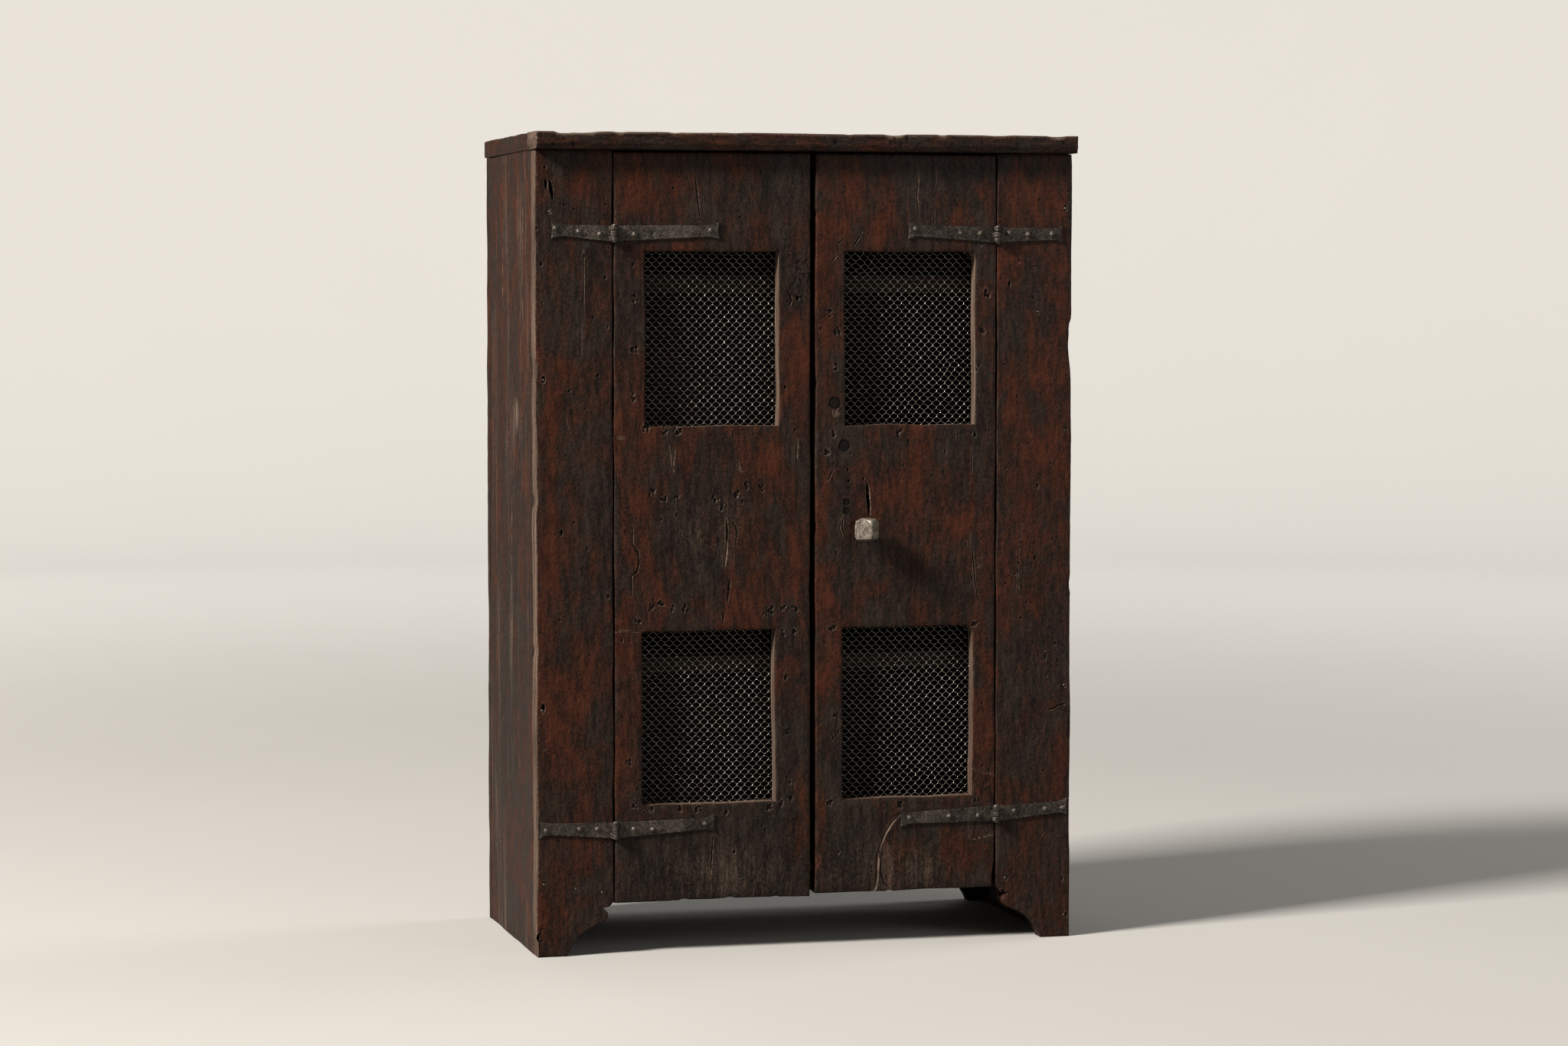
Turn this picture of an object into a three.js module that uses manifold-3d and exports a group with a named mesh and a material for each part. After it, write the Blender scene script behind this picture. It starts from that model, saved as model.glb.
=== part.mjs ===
// A country pie safe: a nailed board case on sawn bracket feet, with three shelves behind two doors
// whose windows are closed with hexagonal wire netting. Millimetres, with +X to the right, +Y to the
// back and +Z up. The case is drawn with its front face at Y zero and its middle at X zero, and then
// moved so that the origin is under the middle of its whole footprint, at the floor.

import * as THREE from "three";
import { mergeVertices } from "three/addons/utils/BufferGeometryUtils.js";
import Module from "manifold-3d";

const wasm = await Module();
wasm.setup();

// Driving sizes of the case
const CASE_WIDTH = 856;
const CASE_HEIGHT = 1235;
const CASE_DEPTH = 420;
const STILE_WIDTH = 120.5;
const RIGHT_STILE_WIDTH = 122;
const STILE_THICKNESS = 30;
const SIDE_THICKNESS = 24;
const BACK_THICKNESS = 24;
const BACK_PLANKS = 4;
const BACK_PLANK_GAP = 1.5;
const SEAT_GAP = 0.3;

// Top board and its nosing strip
const TOP_THICKNESS = 27;
const TOP_SIDE_OVERHANG = 2;
const TOP_REAR_OVERHANG = 8;
const NOSING_OVERHANG = 25;
const NOSING_WIDTH = 74;
const NOSING_CHAMFER_RISE = 9;
const NOSING_CHAMFER_RUN = 4;
const NOSING_NOTCH = 5;
const NOSING_TOP_ROUND = 2;

// Bracket feet, sawn on the stiles and on the outer back planks
const TOE_WIDTH = 47;
const FOOT_RISE = 50;
const FOOT_SPAN = 102;
const FOOT_HOLLOW_X = 63;
const FOOT_HOLLOW_Z = 43;
const LOBE_REACH = 114;
const LOBE_TOP = 71;
const NOTCH_SPAN = 103;
const NOTCH_RISE = 72.5;
const FOOT_TIP_RISE = 75;
const FOOT_TIP_SPAN = 114;
const FOOT_TOP = 82;

// Bottom board, shelves and cleats
const BOTTOM_UNDERSIDE = 84;
const BOTTOM_THICKNESS = 24;
const LOWEST_SHELF_TOP = 454.5;
const UPPER_SHELF_DROP = 190.5;
const SHELF_THICKNESS = 26;
const SHELF_SETBACK = 50;
const SHELF_NAMES = ["lower", "middle", "upper"];
const CLEAT_HEIGHT = 28;
const CLEAT_THICKNESS = 20;
const CLEAT_BEVEL = 8;

// Doors
const DOOR_THICKNESS = 27;
const DOOR_TOP_GAP = 3;
const DOOR_SIDE_GAP = 2;
const MEETING_GAP = 8.5;
const RIGHT_DOOR_NARROWER_BY = 19;
const LEFT_DOOR_BOTTOM = 80;
const RIGHT_DOOR_BOTTOM = 83;

// Windows: the wood left above, between and beside them; each lower one is sawn a little further left
const HEAD_MARGIN = 151.5;
const MIDDLE_MARGIN = 315.5;
const LOWER_SILL = 229;
const LEFT_DOOR_HINGE_MARGIN = 49;
const LEFT_DOOR_FREE_MARGIN = 50;
const RIGHT_DOOR_FREE_MARGIN = 47;
const RIGHT_DOOR_HINGE_MARGIN = 33;
const LEFT_LOWER_WINDOW_SHIFT = 6;
const RIGHT_LOWER_WINDOW_SHIFT = 3;
const WINDOW_CORNER_ROUND = 13;

// Battens across the inner faces of the doors
const BATTEN_WIDTH = 40;
const BATTEN_THICKNESS = 20;
const BATTEN_END_GAP = 20;
const BATTEN_BEVEL = 6;
const BATTEN_NETTING_GAP = 2;
const BATTEN_LATCH_GAP = 20;

// Wire netting: flat cells with upright twisted sides, drawn three times as coarse as the real one
const NET_PITCH = 39.4;
const NET_ROW_PITCH = 22;
const NET_TWIST = 9;
const NET_WIRE = 2.2;
const NET_THICKNESS = 1.6;
const NET_LAP = 12;
const NET_HEM = 8;

// Strap hinges
const STRAP_THICKNESS = 3;
const STRAP_WIDTH = 24.5;
const STRAP_NECK = 18;
const STRAP_FLARE = 28;
const FLARE_LENGTH = 20;
const FLARE_DISH = 3;
const KNUCKLE_RADIUS = 6.5;
const MIDDLE_KNUCKLE = 8.5;
const KNUCKLE_GAP = 0.4;
const KNUCKLE_STANDOFF = 0.3;
const PIN_RADIUS = 2.7;
const PIN_CLEARANCE = 0.4;
const PIN_HEAD_RADIUS = 4.4;
const PIN_HEAD_HEIGHT = 1.8;
const TURNING_CLEARANCE = 0.8;
const PIN_OFFSET = 1.5;
const UPPER_HINGE_DROP = 124;
const LEFT_LOWER_HINGE_RISE = 113;
const RIGHT_LOWER_HINGE_RISE = 117;

// The smith made no two straps alike: their lengths from the pin, and how far their ends rise
const LEFT_UPPER_STILE_STRAP = 97;
const LEFT_UPPER_DOOR_STRAP = 166;
const LEFT_LOWER_STILE_STRAP = 118;
const LEFT_LOWER_DOOR_STRAP = 158;
const RIGHT_UPPER_STILE_STRAP = 108;
const RIGHT_UPPER_DOOR_STRAP = 144;
const RIGHT_LOWER_STILE_STRAP = 119;
const RIGHT_LOWER_DOOR_STRAP = 155;
const LEFT_UPPER_STILE_RISE = 5;
const LEFT_UPPER_DOOR_RISE = 4.5;
const LEFT_LOWER_STILE_RISE = 5;
const LEFT_LOWER_DOOR_RISE = 6;
const RIGHT_UPPER_STILE_RISE = 1;
const RIGHT_UPPER_DOOR_RISE = 6.5;
const RIGHT_LOWER_STILE_RISE = 7.5;
const RIGHT_LOWER_DOOR_FALL = 3.5;

// Knob, spindle and latch bar
const KNOB_FROM_FREE_EDGE = 74;
const KNOB_ABOVE_BATTEN = 101;
const KNOB_RADIUS = 20;
const KNOB_FACE_RADIUS = 13;
const KNOB_NECK_RADIUS = 11;
const KNOB_LENGTH = 32;
const KNOB_BELLY_DEPTH = 11;
const KNOB_SHOULDER_DEPTH = 21;
const KNOB_SHOULDER_RADIUS = 18;
const KNOB_STANDOFF = 15;
const KNOB_SIDES = 8;
const KNOB_SOCKET_DEPTH = 20;
const SPINDLE_RADIUS = 6;
const SPINDLE_CLEARANCE = 0.6;
const LATCH_END_GAP = 3;
const LATCH_TAIL = 18;
const LATCH_WIDTH = 25;
const LATCH_THICKNESS = 12;
const LATCH_RUNNING_GAP = 1.2;
const WASHER_RADIUS = 11;
const WASHER_THICKNESS = 1.6;
const CROSS_PIN_RADIUS = 1.6;
const CROSS_PIN_LENGTH = 22;
const CROSS_PIN_CLEARANCE = 0.3;
const SPINDLE_TAIL = 2.5;

// Counts and overruns
const ROUND_SIDES = 20;
const CURVE_STEPS = 8;
const OVERRUN = 2;

// Sizes and places that follow from those above
const LEFT = -CASE_WIDTH / 2;
const RIGHT = CASE_WIDTH / 2;
const BACK_FACE = CASE_DEPTH - BACK_THICKNESS;
const SHELF_PITCH = (CASE_HEIGHT - UPPER_SHELF_DROP - LOWEST_SHELF_TOP) / (SHELF_NAMES.length - 1);
const DOORWAY_WIDTH = CASE_WIDTH - STILE_WIDTH - RIGHT_STILE_WIDTH - 2 * DOOR_SIDE_GAP;
const RIGHT_DOOR_WIDTH = (DOORWAY_WIDTH - MEETING_GAP - RIGHT_DOOR_NARROWER_BY) / 2;
const LEFT_DOOR_WIDTH = RIGHT_DOOR_WIDTH + RIGHT_DOOR_NARROWER_BY;
const LEFT_DOOR_X = LEFT + STILE_WIDTH + DOOR_SIDE_GAP;
const RIGHT_DOOR_X = RIGHT - RIGHT_STILE_WIDTH - DOOR_SIDE_GAP - RIGHT_DOOR_WIDTH;
const DOOR_TOP = CASE_HEIGHT - DOOR_TOP_GAP;
const WINDOW_HEIGHT = (DOOR_TOP - HEAD_MARGIN - MIDDLE_MARGIN - LOWER_SILL) / 2;
const UPPER_SILL = LOWER_SILL + WINDOW_HEIGHT + MIDDLE_MARGIN;
const LEFT_WINDOW_X = LEFT_DOOR_X + LEFT_DOOR_HINGE_MARGIN;
const LEFT_WINDOW_WIDTH = LEFT_DOOR_WIDTH - LEFT_DOOR_HINGE_MARGIN - LEFT_DOOR_FREE_MARGIN;
const RIGHT_WINDOW_X = RIGHT_DOOR_X + RIGHT_DOOR_FREE_MARGIN;
const RIGHT_WINDOW_WIDTH = RIGHT_DOOR_WIDTH - RIGHT_DOOR_FREE_MARGIN - RIGHT_DOOR_HINGE_MARGIN;
const LOWER_BATTEN_BOTTOM = LOWER_SILL + WINDOW_HEIGHT + NET_LAP + BATTEN_NETTING_GAP;
const KNOB_HEIGHT = LOWER_BATTEN_BOTTOM + BATTEN_WIDTH + KNOB_ABOVE_BATTEN;
const LATCH_LENGTH = KNOB_ABOVE_BATTEN - LATCH_END_GAP;
const UPPER_BATTEN_BOTTOM = KNOB_HEIGHT + LATCH_TAIL + BATTEN_LATCH_GAP;
const NET_PEAK = NET_ROW_PITCH - NET_TWIST / 2 - NET_WIRE / 2;
const LEFT_PIN_X = LEFT + STILE_WIDTH + PIN_OFFSET;
const RIGHT_PIN_X = RIGHT - RIGHT_STILE_WIDTH - PIN_OFFSET;
const UPPER_HINGE_Z = DOOR_TOP - UPPER_HINGE_DROP;
const KNUCKLE_Y = -(KNUCKLE_RADIUS + KNUCKLE_STANDOFF);
const KNOB_X = RIGHT_DOOR_X + KNOB_FROM_FREE_EDGE;
const KNOB_FRONT = -(KNOB_STANDOFF + KNOB_LENGTH);
const FOOTPRINT_MIDDLE = (CASE_DEPTH + TOP_REAR_OVERHANG + KNOB_FRONT) / 2;

// Finishes
const OLD_PAINT = finish(0x33261f, 0.7, 0);
const BARE_WOOD = finish(0x6b4a3a, 0.85, 0);
const FORGED_IRON = finish(0x34302d, 0.6, 0.8);
const WIRE = finish(0x77736d, 0.5, 0.9);
const CAST_METAL = finish(0x8f8479, 0.45, 0.8);

function finish(color, roughness, metalness) {
  return new THREE.MeshStandardMaterial({ color, roughness, metalness });
}

// A closed geometry as a solid that can be cut and joined.
function solidOf(geometry) {
  const bare = geometry.index ? geometry.toNonIndexed() : geometry.clone();
  bare.deleteAttribute("normal");
  bare.deleteAttribute("uv");
  const merged = mergeVertices(bare);
  const vertProperties = new Float32Array(merged.attributes.position.array);
  const triVerts = new Uint32Array(merged.index.array);
  return new wasm.Manifold(new wasm.Mesh({ numProp: 3, vertProperties, triVerts }));
}

// A cut or joined solid back as a geometry.
function geometryOf(solid) {
  const mesh = solid.getMesh();
  const geometry = new THREE.BufferGeometry();
  geometry.setAttribute("position", new THREE.BufferAttribute(mesh.vertProperties, 3));
  geometry.setIndex(new THREE.BufferAttribute(mesh.triVerts, 1));
  return geometry;
}

function piece(name, geometry, material) {
  const mesh = new THREE.Mesh(geometry, material);
  mesh.name = name;
  return mesh;
}

// A board given by its lowest corner and its size along X, Y and Z.
function board(x, y, z, width, depth, height) {
  return new THREE.BoxGeometry(width, depth, height)
    .translate(x + width / 2, y + depth / 2, z + height / 2);
}

// An outline drawn in the front view, cut from stock of a thickness whose front face is at frontY.
function sawn(shape, frontY, thickness) {
  return new THREE.ExtrudeGeometry(shape, {
    depth: thickness,
    bevelEnabled: false,
    curveSegments: CURVE_STEPS,
  })
    .rotateX(Math.PI / 2)
    .translate(0, frontY + thickness, 0);
}

// An outline drawn in the side view, Y and Z, run along X from its left end.
function moulded(shape, leftX, length) {
  return new THREE.ExtrudeGeometry(shape, {
    depth: length,
    bevelEnabled: false,
    curveSegments: CURVE_STEPS,
  })
    .rotateX(Math.PI / 2)
    .rotateZ(Math.PI / 2)
    .translate(leftX, 0, 0);
}

// A round bar that stands along Z from a height.
function uprightRound(x, y, bottom, radius, length, sides = ROUND_SIDES) {
  return new THREE.CylinderGeometry(radius, radius, length, sides)
    .rotateX(Math.PI / 2)
    .translate(x, y, bottom + length / 2);
}

// A round bar that runs along Y from its front end.
function levelRound(x, frontY, z, radius, length, sides = ROUND_SIDES) {
  return new THREE.CylinderGeometry(radius, radius, length, sides).translate(x, frontY + length / 2, z);
}

// The outline of an upright board with a bracket foot, whose outer edge is at outerX and whose foot
// reaches inwards along side, 1 to the right or -1 to the left. A board wider than its foot goes on
// at innerBottom.
function footedOutline(outerX, side, width, footWidth = width, innerBottom = FOOT_TOP) {
  const at = (span) => outerX + side * span;
  const shape = new THREE.Shape();
  shape.moveTo(at(0), 0);
  shape.lineTo(at(TOE_WIDTH), 0);
  shape.quadraticCurveTo(at(FOOT_HOLLOW_X), FOOT_HOLLOW_Z, at(FOOT_SPAN), FOOT_RISE);
  shape.bezierCurveTo(
    at(LOBE_REACH), FOOT_RISE,
    at(LOBE_REACH), LOBE_TOP,
    at(NOTCH_SPAN), NOTCH_RISE,
  );
  shape.lineTo(at(FOOT_TIP_SPAN), FOOT_TIP_RISE);
  shape.lineTo(at(footWidth), FOOT_TOP);
  if (width > footWidth) shape.lineTo(at(width), innerBottom);
  shape.lineTo(at(width), CASE_HEIGHT);
  shape.lineTo(at(0), CASE_HEIGHT);
  shape.closePath();
  return shape;
}

function stiles() {
  const left = footedOutline(LEFT, 1, STILE_WIDTH);
  const right = footedOutline(RIGHT, -1, RIGHT_STILE_WIDTH);
  return [
    piece("stile_left", sawn(left, 0, STILE_THICKNESS), OLD_PAINT),
    piece("stile_right", sawn(right, 0, STILE_THICKNESS), OLD_PAINT),
  ];
}

function sideBoards() {
  const depth = BACK_FACE - STILE_THICKNESS;
  const side = (x) => board(x, STILE_THICKNESS, 0, SIDE_THICKNESS, depth, CASE_HEIGHT);
  return [
    piece("side_board_left", side(LEFT), OLD_PAINT),
    piece("side_board_right", side(RIGHT - SIDE_THICKNESS), OLD_PAINT),
  ];
}

// Upright planks nailed over the back edges of the side boards; the outer two have feet.
function backBoards() {
  const width = (CASE_WIDTH - BACK_PLANK_GAP * (BACK_PLANKS - 1)) / BACK_PLANKS;
  const height = CASE_HEIGHT - BOTTOM_UNDERSIDE;
  const footed = (outerX, side) =>
    sawn(footedOutline(outerX, side, width, STILE_WIDTH, BOTTOM_UNDERSIDE), BACK_FACE, BACK_THICKNESS);
  const planks = [];
  for (let i = 0; i < BACK_PLANKS; i += 1) {
    const x = LEFT + i * (width + BACK_PLANK_GAP);
    let geometry = board(x, BACK_FACE, BOTTOM_UNDERSIDE, width, BACK_THICKNESS, height);
    if (i === 0) geometry = footed(LEFT, 1);
    if (i === BACK_PLANKS - 1) geometry = footed(RIGHT, -1);
    planks.push(piece(`back_board_${i + 1}`, geometry, OLD_PAINT));
  }
  return planks;
}

function topBoard() {
  const front = NOSING_WIDTH - NOSING_OVERHANG;
  const depth = CASE_DEPTH + TOP_REAR_OVERHANG - front;
  const x = LEFT - TOP_SIDE_OVERHANG;
  const length = CASE_WIDTH + 2 * TOP_SIDE_OVERHANG;
  return [
    piece("top_board", board(x, front, CASE_HEIGHT, length, depth, TOP_THICKNESS), OLD_PAINT),
    piece("top_nosing", moulded(nosingProfile(), x, length), OLD_PAINT),
  ];
}

// The nosing strip's section: a chamfer under its front edge and a small notch at its back lower edge.
function nosingProfile() {
  const front = -NOSING_OVERHANG;
  const back = front + NOSING_WIDTH;
  const top = CASE_HEIGHT + TOP_THICKNESS;
  const shape = new THREE.Shape();
  shape.moveTo(front + NOSING_CHAMFER_RUN, CASE_HEIGHT);
  shape.lineTo(back - NOSING_NOTCH, CASE_HEIGHT);
  shape.lineTo(back, CASE_HEIGHT + NOSING_NOTCH);
  shape.lineTo(back, top);
  shape.lineTo(front + NOSING_TOP_ROUND, top);
  shape.quadraticCurveTo(front, top, front, top - NOSING_TOP_ROUND);
  shape.lineTo(front, CASE_HEIGHT + NOSING_CHAMFER_RISE);
  shape.closePath();
  return shape;
}

function bottomBoard() {
  const x = LEFT + SIDE_THICKNESS;
  const width = CASE_WIDTH - 2 * SIDE_THICKNESS;
  const depth = BACK_FACE - STILE_THICKNESS;
  const geometry = board(x, STILE_THICKNESS, BOTTOM_UNDERSIDE, width, depth, BOTTOM_THICKNESS);
  return piece("bottom_board", geometry, OLD_PAINT);
}

function shelfTop(index) {
  return LOWEST_SHELF_TOP + index * SHELF_PITCH;
}

function shelves() {
  const x = LEFT + SIDE_THICKNESS;
  const width = CASE_WIDTH - 2 * SIDE_THICKNESS;
  const depth = BACK_FACE - SHELF_SETBACK;
  return SHELF_NAMES.map((name, i) =>
    piece(
      `shelf_${name}`,
      board(x, SHELF_SETBACK, shelfTop(i) - SHELF_THICKNESS, width, depth, SHELF_THICKNESS),
      BARE_WOOD,
    ));
}

// A cleat's section in the front view, against a side board, its lower inner edge bevelled.
function cleatOutline(wallX, side, top) {
  const shape = new THREE.Shape();
  shape.moveTo(wallX, top);
  shape.lineTo(wallX + side * CLEAT_THICKNESS, top);
  shape.lineTo(wallX + side * CLEAT_THICKNESS, top - CLEAT_HEIGHT + CLEAT_BEVEL);
  shape.lineTo(wallX + side * (CLEAT_THICKNESS - CLEAT_BEVEL), top - CLEAT_HEIGHT);
  shape.lineTo(wallX, top - CLEAT_HEIGHT);
  shape.closePath();
  return shape;
}

function cleats() {
  const seats = SHELF_NAMES.map((name, i) => ({
    name,
    top: shelfTop(i) - SHELF_THICKNESS,
    front: SHELF_SETBACK,
  }));
  seats.push({ name: "bottom", top: BOTTOM_UNDERSIDE, front: STILE_THICKNESS });
  const made = [];
  for (const { name, top, front } of seats) {
    const left = cleatOutline(LEFT + SIDE_THICKNESS, 1, top);
    const right = cleatOutline(RIGHT - SIDE_THICKNESS, -1, top);
    made.push(piece(`cleat_${name}_left`, sawn(left, front, BACK_FACE - front), BARE_WOOD));
    made.push(piece(`cleat_${name}_right`, sawn(right, front, BACK_FACE - front), BARE_WOOD));
  }
  return made;
}

// A window sawn through a door; its upper right corner may be left round by the saw.
function windowPath(opening, round) {
  const { x, sill } = opening;
  const right = x + opening.width;
  const head = sill + WINDOW_HEIGHT;
  const path = new THREE.Path();
  path.moveTo(x, sill);
  path.lineTo(x, head);
  path.lineTo(right - round, head);
  if (round > 0) path.quadraticCurveTo(right, head, right, head - round);
  path.lineTo(right, sill);
  path.closePath();
  return path;
}

function doorBoard(door) {
  const shape = new THREE.Shape();
  shape.moveTo(door.x, door.bottom);
  shape.lineTo(door.x + door.width, door.bottom);
  shape.lineTo(door.x + door.width, DOOR_TOP);
  shape.lineTo(door.x, DOOR_TOP);
  shape.closePath();
  for (const opening of door.windows) {
    shape.holes.push(windowPath(opening, door.cornerRound));
  }
  const blank = sawn(shape, 0, DOOR_THICKNESS);
  if (!door.spindleX) return blank;
  const length = DOOR_THICKNESS + 2 * OVERRUN;
  const hole = levelRound(door.spindleX, -OVERRUN, KNOB_HEIGHT, SPINDLE_RADIUS + SPINDLE_CLEARANCE, length);
  return geometryOf(solidOf(blank).subtract(solidOf(hole)));
}

// A batten's section in the side view, both inner edges bevelled.
function battenOutline(bottom) {
  const seat = DOOR_THICKNESS;
  const face = seat + BATTEN_THICKNESS;
  const top = bottom + BATTEN_WIDTH;
  const shape = new THREE.Shape();
  shape.moveTo(seat, bottom);
  shape.lineTo(face - BATTEN_BEVEL, bottom);
  shape.lineTo(face, bottom + BATTEN_BEVEL);
  shape.lineTo(face, top - BATTEN_BEVEL);
  shape.lineTo(face - BATTEN_BEVEL, top);
  shape.lineTo(seat, top);
  shape.closePath();
  return shape;
}

function batten(door, bottom) {
  return moulded(battenOutline(bottom), door.x + BATTEN_END_GAP, door.width - 2 * BATTEN_END_GAP);
}

// One cell of the netting: two upright twisted sides, and slanted wires that meet over and under them.
// A cell at the edge of the panel keeps only the half on its inner side, 1 to the right or -1 to the left.
function netCell(x, z, kept = 0) {
  const half = (NET_PITCH - NET_WIRE) / 2;
  const upright = NET_TWIST / 2;
  const path = new THREE.Path();
  path.moveTo(x, z - NET_PEAK);
  if (kept <= 0) {
    path.lineTo(x - half, z - upright);
    path.lineTo(x - half, z + upright);
  }
  path.lineTo(x, z + NET_PEAK);
  if (kept >= 0) {
    path.lineTo(x + half, z + upright);
    path.lineTo(x + half, z - upright);
  }
  path.closePath();
  return path;
}

// A flat panel of netting behind a window, lapping the door all round it.
function netting(opening) {
  const left = opening.x - NET_LAP;
  const bottom = opening.sill - NET_LAP;
  const width = opening.width + 2 * NET_LAP;
  const height = WINDOW_HEIGHT + 2 * NET_LAP;
  const columns = Math.floor((width - 2 * NET_HEM) / NET_PITCH - 1 / 2);
  const rows = Math.floor((height - 2 * NET_HEM - 2 * NET_PEAK) / NET_ROW_PITCH) + 1;
  const shape = new THREE.Shape();
  shape.moveTo(left, bottom);
  shape.lineTo(left + width, bottom);
  shape.lineTo(left + width, bottom + height);
  shape.lineTo(left, bottom + height);
  shape.closePath();
  const middleX = left + width / 2;
  const middleZ = bottom + height / 2;
  const reach = ((columns + 1 / 2) * NET_PITCH) / 2;
  for (let row = 0; row < rows; row += 1) {
    const side = row % 2 ? -1 : 1;
    const z = middleZ + (row - (rows - 1) / 2) * NET_ROW_PITCH;
    for (let column = 1; column <= columns; column += 1) {
      shape.holes.push(netCell(middleX + side * (reach - (column - 1 / 2) * NET_PITCH), z));
    }
    shape.holes.push(netCell(middleX - side * reach, z, side));
  }
  return sawn(shape, DOOR_THICKNESS, NET_THICKNESS);
}

// A strap's outline from the pin outwards along side: it narrows to a neck and flares at its end.
function strapOutline(pinX, z, side, length, rise) {
  const at = (span) => pinX + side * span;
  const half = STRAP_WIDTH / 2;
  const neck = STRAP_NECK / 2;
  const flare = STRAP_FLARE / 2;
  const neckSpan = length - FLARE_LENGTH;
  const bendSpan = length - FLARE_LENGTH / 2;
  const neckZ = z + (rise * neckSpan) / length;
  const endZ = z + rise;
  const shape = new THREE.Shape();
  shape.moveTo(at(0), z - half);
  shape.lineTo(at(KNUCKLE_RADIUS), z - half);
  shape.lineTo(at(neckSpan), neckZ - neck);
  shape.quadraticCurveTo(at(bendSpan), endZ - neck, at(length), endZ - flare);
  shape.quadraticCurveTo(at(length - FLARE_DISH), endZ, at(length), endZ + flare);
  shape.quadraticCurveTo(at(bendSpan), endZ + neck, at(neckSpan), neckZ + neck);
  shape.lineTo(at(KNUCKLE_RADIUS), z + half);
  shape.lineTo(at(0), z + half);
  shape.closePath();
  return shape;
}

// One leaf of a hinge: its strap, its own knuckles, the bore, and room for the other leaf's knuckles.
function hingeLeaf(hinge, side, length, rise, ownSpans, otherSpans) {
  const { pinX, z } = hinge;
  const upright = ([bottom, top], radius) =>
    solidOf(uprightRound(pinX, KNUCKLE_Y, z + bottom, radius, top - bottom));
  const outline = strapOutline(pinX, z, side, length, rise);
  let leaf = solidOf(sawn(outline, -STRAP_THICKNESS, STRAP_THICKNESS));
  for (const [bottom, top] of otherSpans) {
    const room = [bottom - KNUCKLE_GAP, top + KNUCKLE_GAP];
    leaf = leaf.subtract(upright(room, KNUCKLE_RADIUS + TURNING_CLEARANCE));
  }
  for (const span of ownSpans) leaf = leaf.add(upright(span, KNUCKLE_RADIUS));
  const bore = [-STRAP_WIDTH / 2 - OVERRUN, STRAP_WIDTH / 2 + OVERRUN];
  return geometryOf(leaf.subtract(upright(bore, PIN_RADIUS + PIN_CLEARANCE)));
}

// A hinge pin with a hammered head at each end, lathed round its own axis.
function hingePin(hinge) {
  const half = STRAP_WIDTH / 2;
  const profile = [
    [0, -half - PIN_HEAD_HEIGHT],
    [PIN_RADIUS, -half - PIN_HEAD_HEIGHT],
    [PIN_HEAD_RADIUS, -half],
    [PIN_RADIUS, -half],
    [PIN_RADIUS, half],
    [PIN_HEAD_RADIUS, half],
    [PIN_RADIUS, half + PIN_HEAD_HEIGHT],
    [0, half + PIN_HEAD_HEIGHT],
  ];
  return new THREE.LatheGeometry(profile.map(([r, y]) => new THREE.Vector2(r, y)), ROUND_SIDES)
    .rotateX(Math.PI / 2)
    .translate(hinge.pinX, KNUCKLE_Y, hinge.z);
}

// The three pieces of a hinge, sorted by what carries them.
function hingePieces(hinge) {
  const middle = MIDDLE_KNUCKLE / 2;
  const half = STRAP_WIDTH / 2;
  const doorSpans = [[-middle, middle]];
  const stileSpans = [[-half, -middle - KNUCKLE_GAP], [middle + KNUCKLE_GAP, half]];
  const side = hinge.doorSide;
  const stileLeaf = hingeLeaf(hinge, -side, hinge.stileLength, hinge.stileRise, stileSpans, doorSpans);
  const doorLeaf = hingeLeaf(hinge, side, hinge.doorLength, hinge.doorRise, doorSpans, stileSpans);
  return {
    fixed: [
      piece(`hinge_${hinge.name}_stile_leaf`, stileLeaf, FORGED_IRON),
      piece(`hinge_${hinge.name}_pin`, hingePin(hinge), FORGED_IRON),
    ],
    moving: [piece(`hinge_${hinge.name}_door_leaf`, doorLeaf, FORGED_IRON)],
  };
}

// The knob: an eight-sided lump, fullest behind its middle, with a socket for the spindle.
function knob() {
  const profile = [
    [0, 0],
    [KNOB_NECK_RADIUS, 0],
    [KNOB_RADIUS, KNOB_BELLY_DEPTH],
    [KNOB_SHOULDER_RADIUS, KNOB_SHOULDER_DEPTH],
    [KNOB_FACE_RADIUS, KNOB_LENGTH],
    [0, KNOB_LENGTH],
  ];
  const lump = new THREE.LatheGeometry(profile.map(([r, y]) => new THREE.Vector2(r, y)), KNOB_SIDES)
    .rotateY(Math.PI / KNOB_SIDES)
    .rotateX(Math.PI)
    .translate(KNOB_X, -KNOB_STANDOFF, KNOB_HEIGHT);
  const socketFront = -KNOB_STANDOFF - KNOB_SOCKET_DEPTH;
  const socket = levelRound(
    KNOB_X, socketFront, KNOB_HEIGHT,
    SPINDLE_RADIUS + SEAT_GAP, KNOB_SOCKET_DEPTH + OVERRUN,
  );
  return geometryOf(solidOf(lump).subtract(solidOf(socket)));
}

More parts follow.
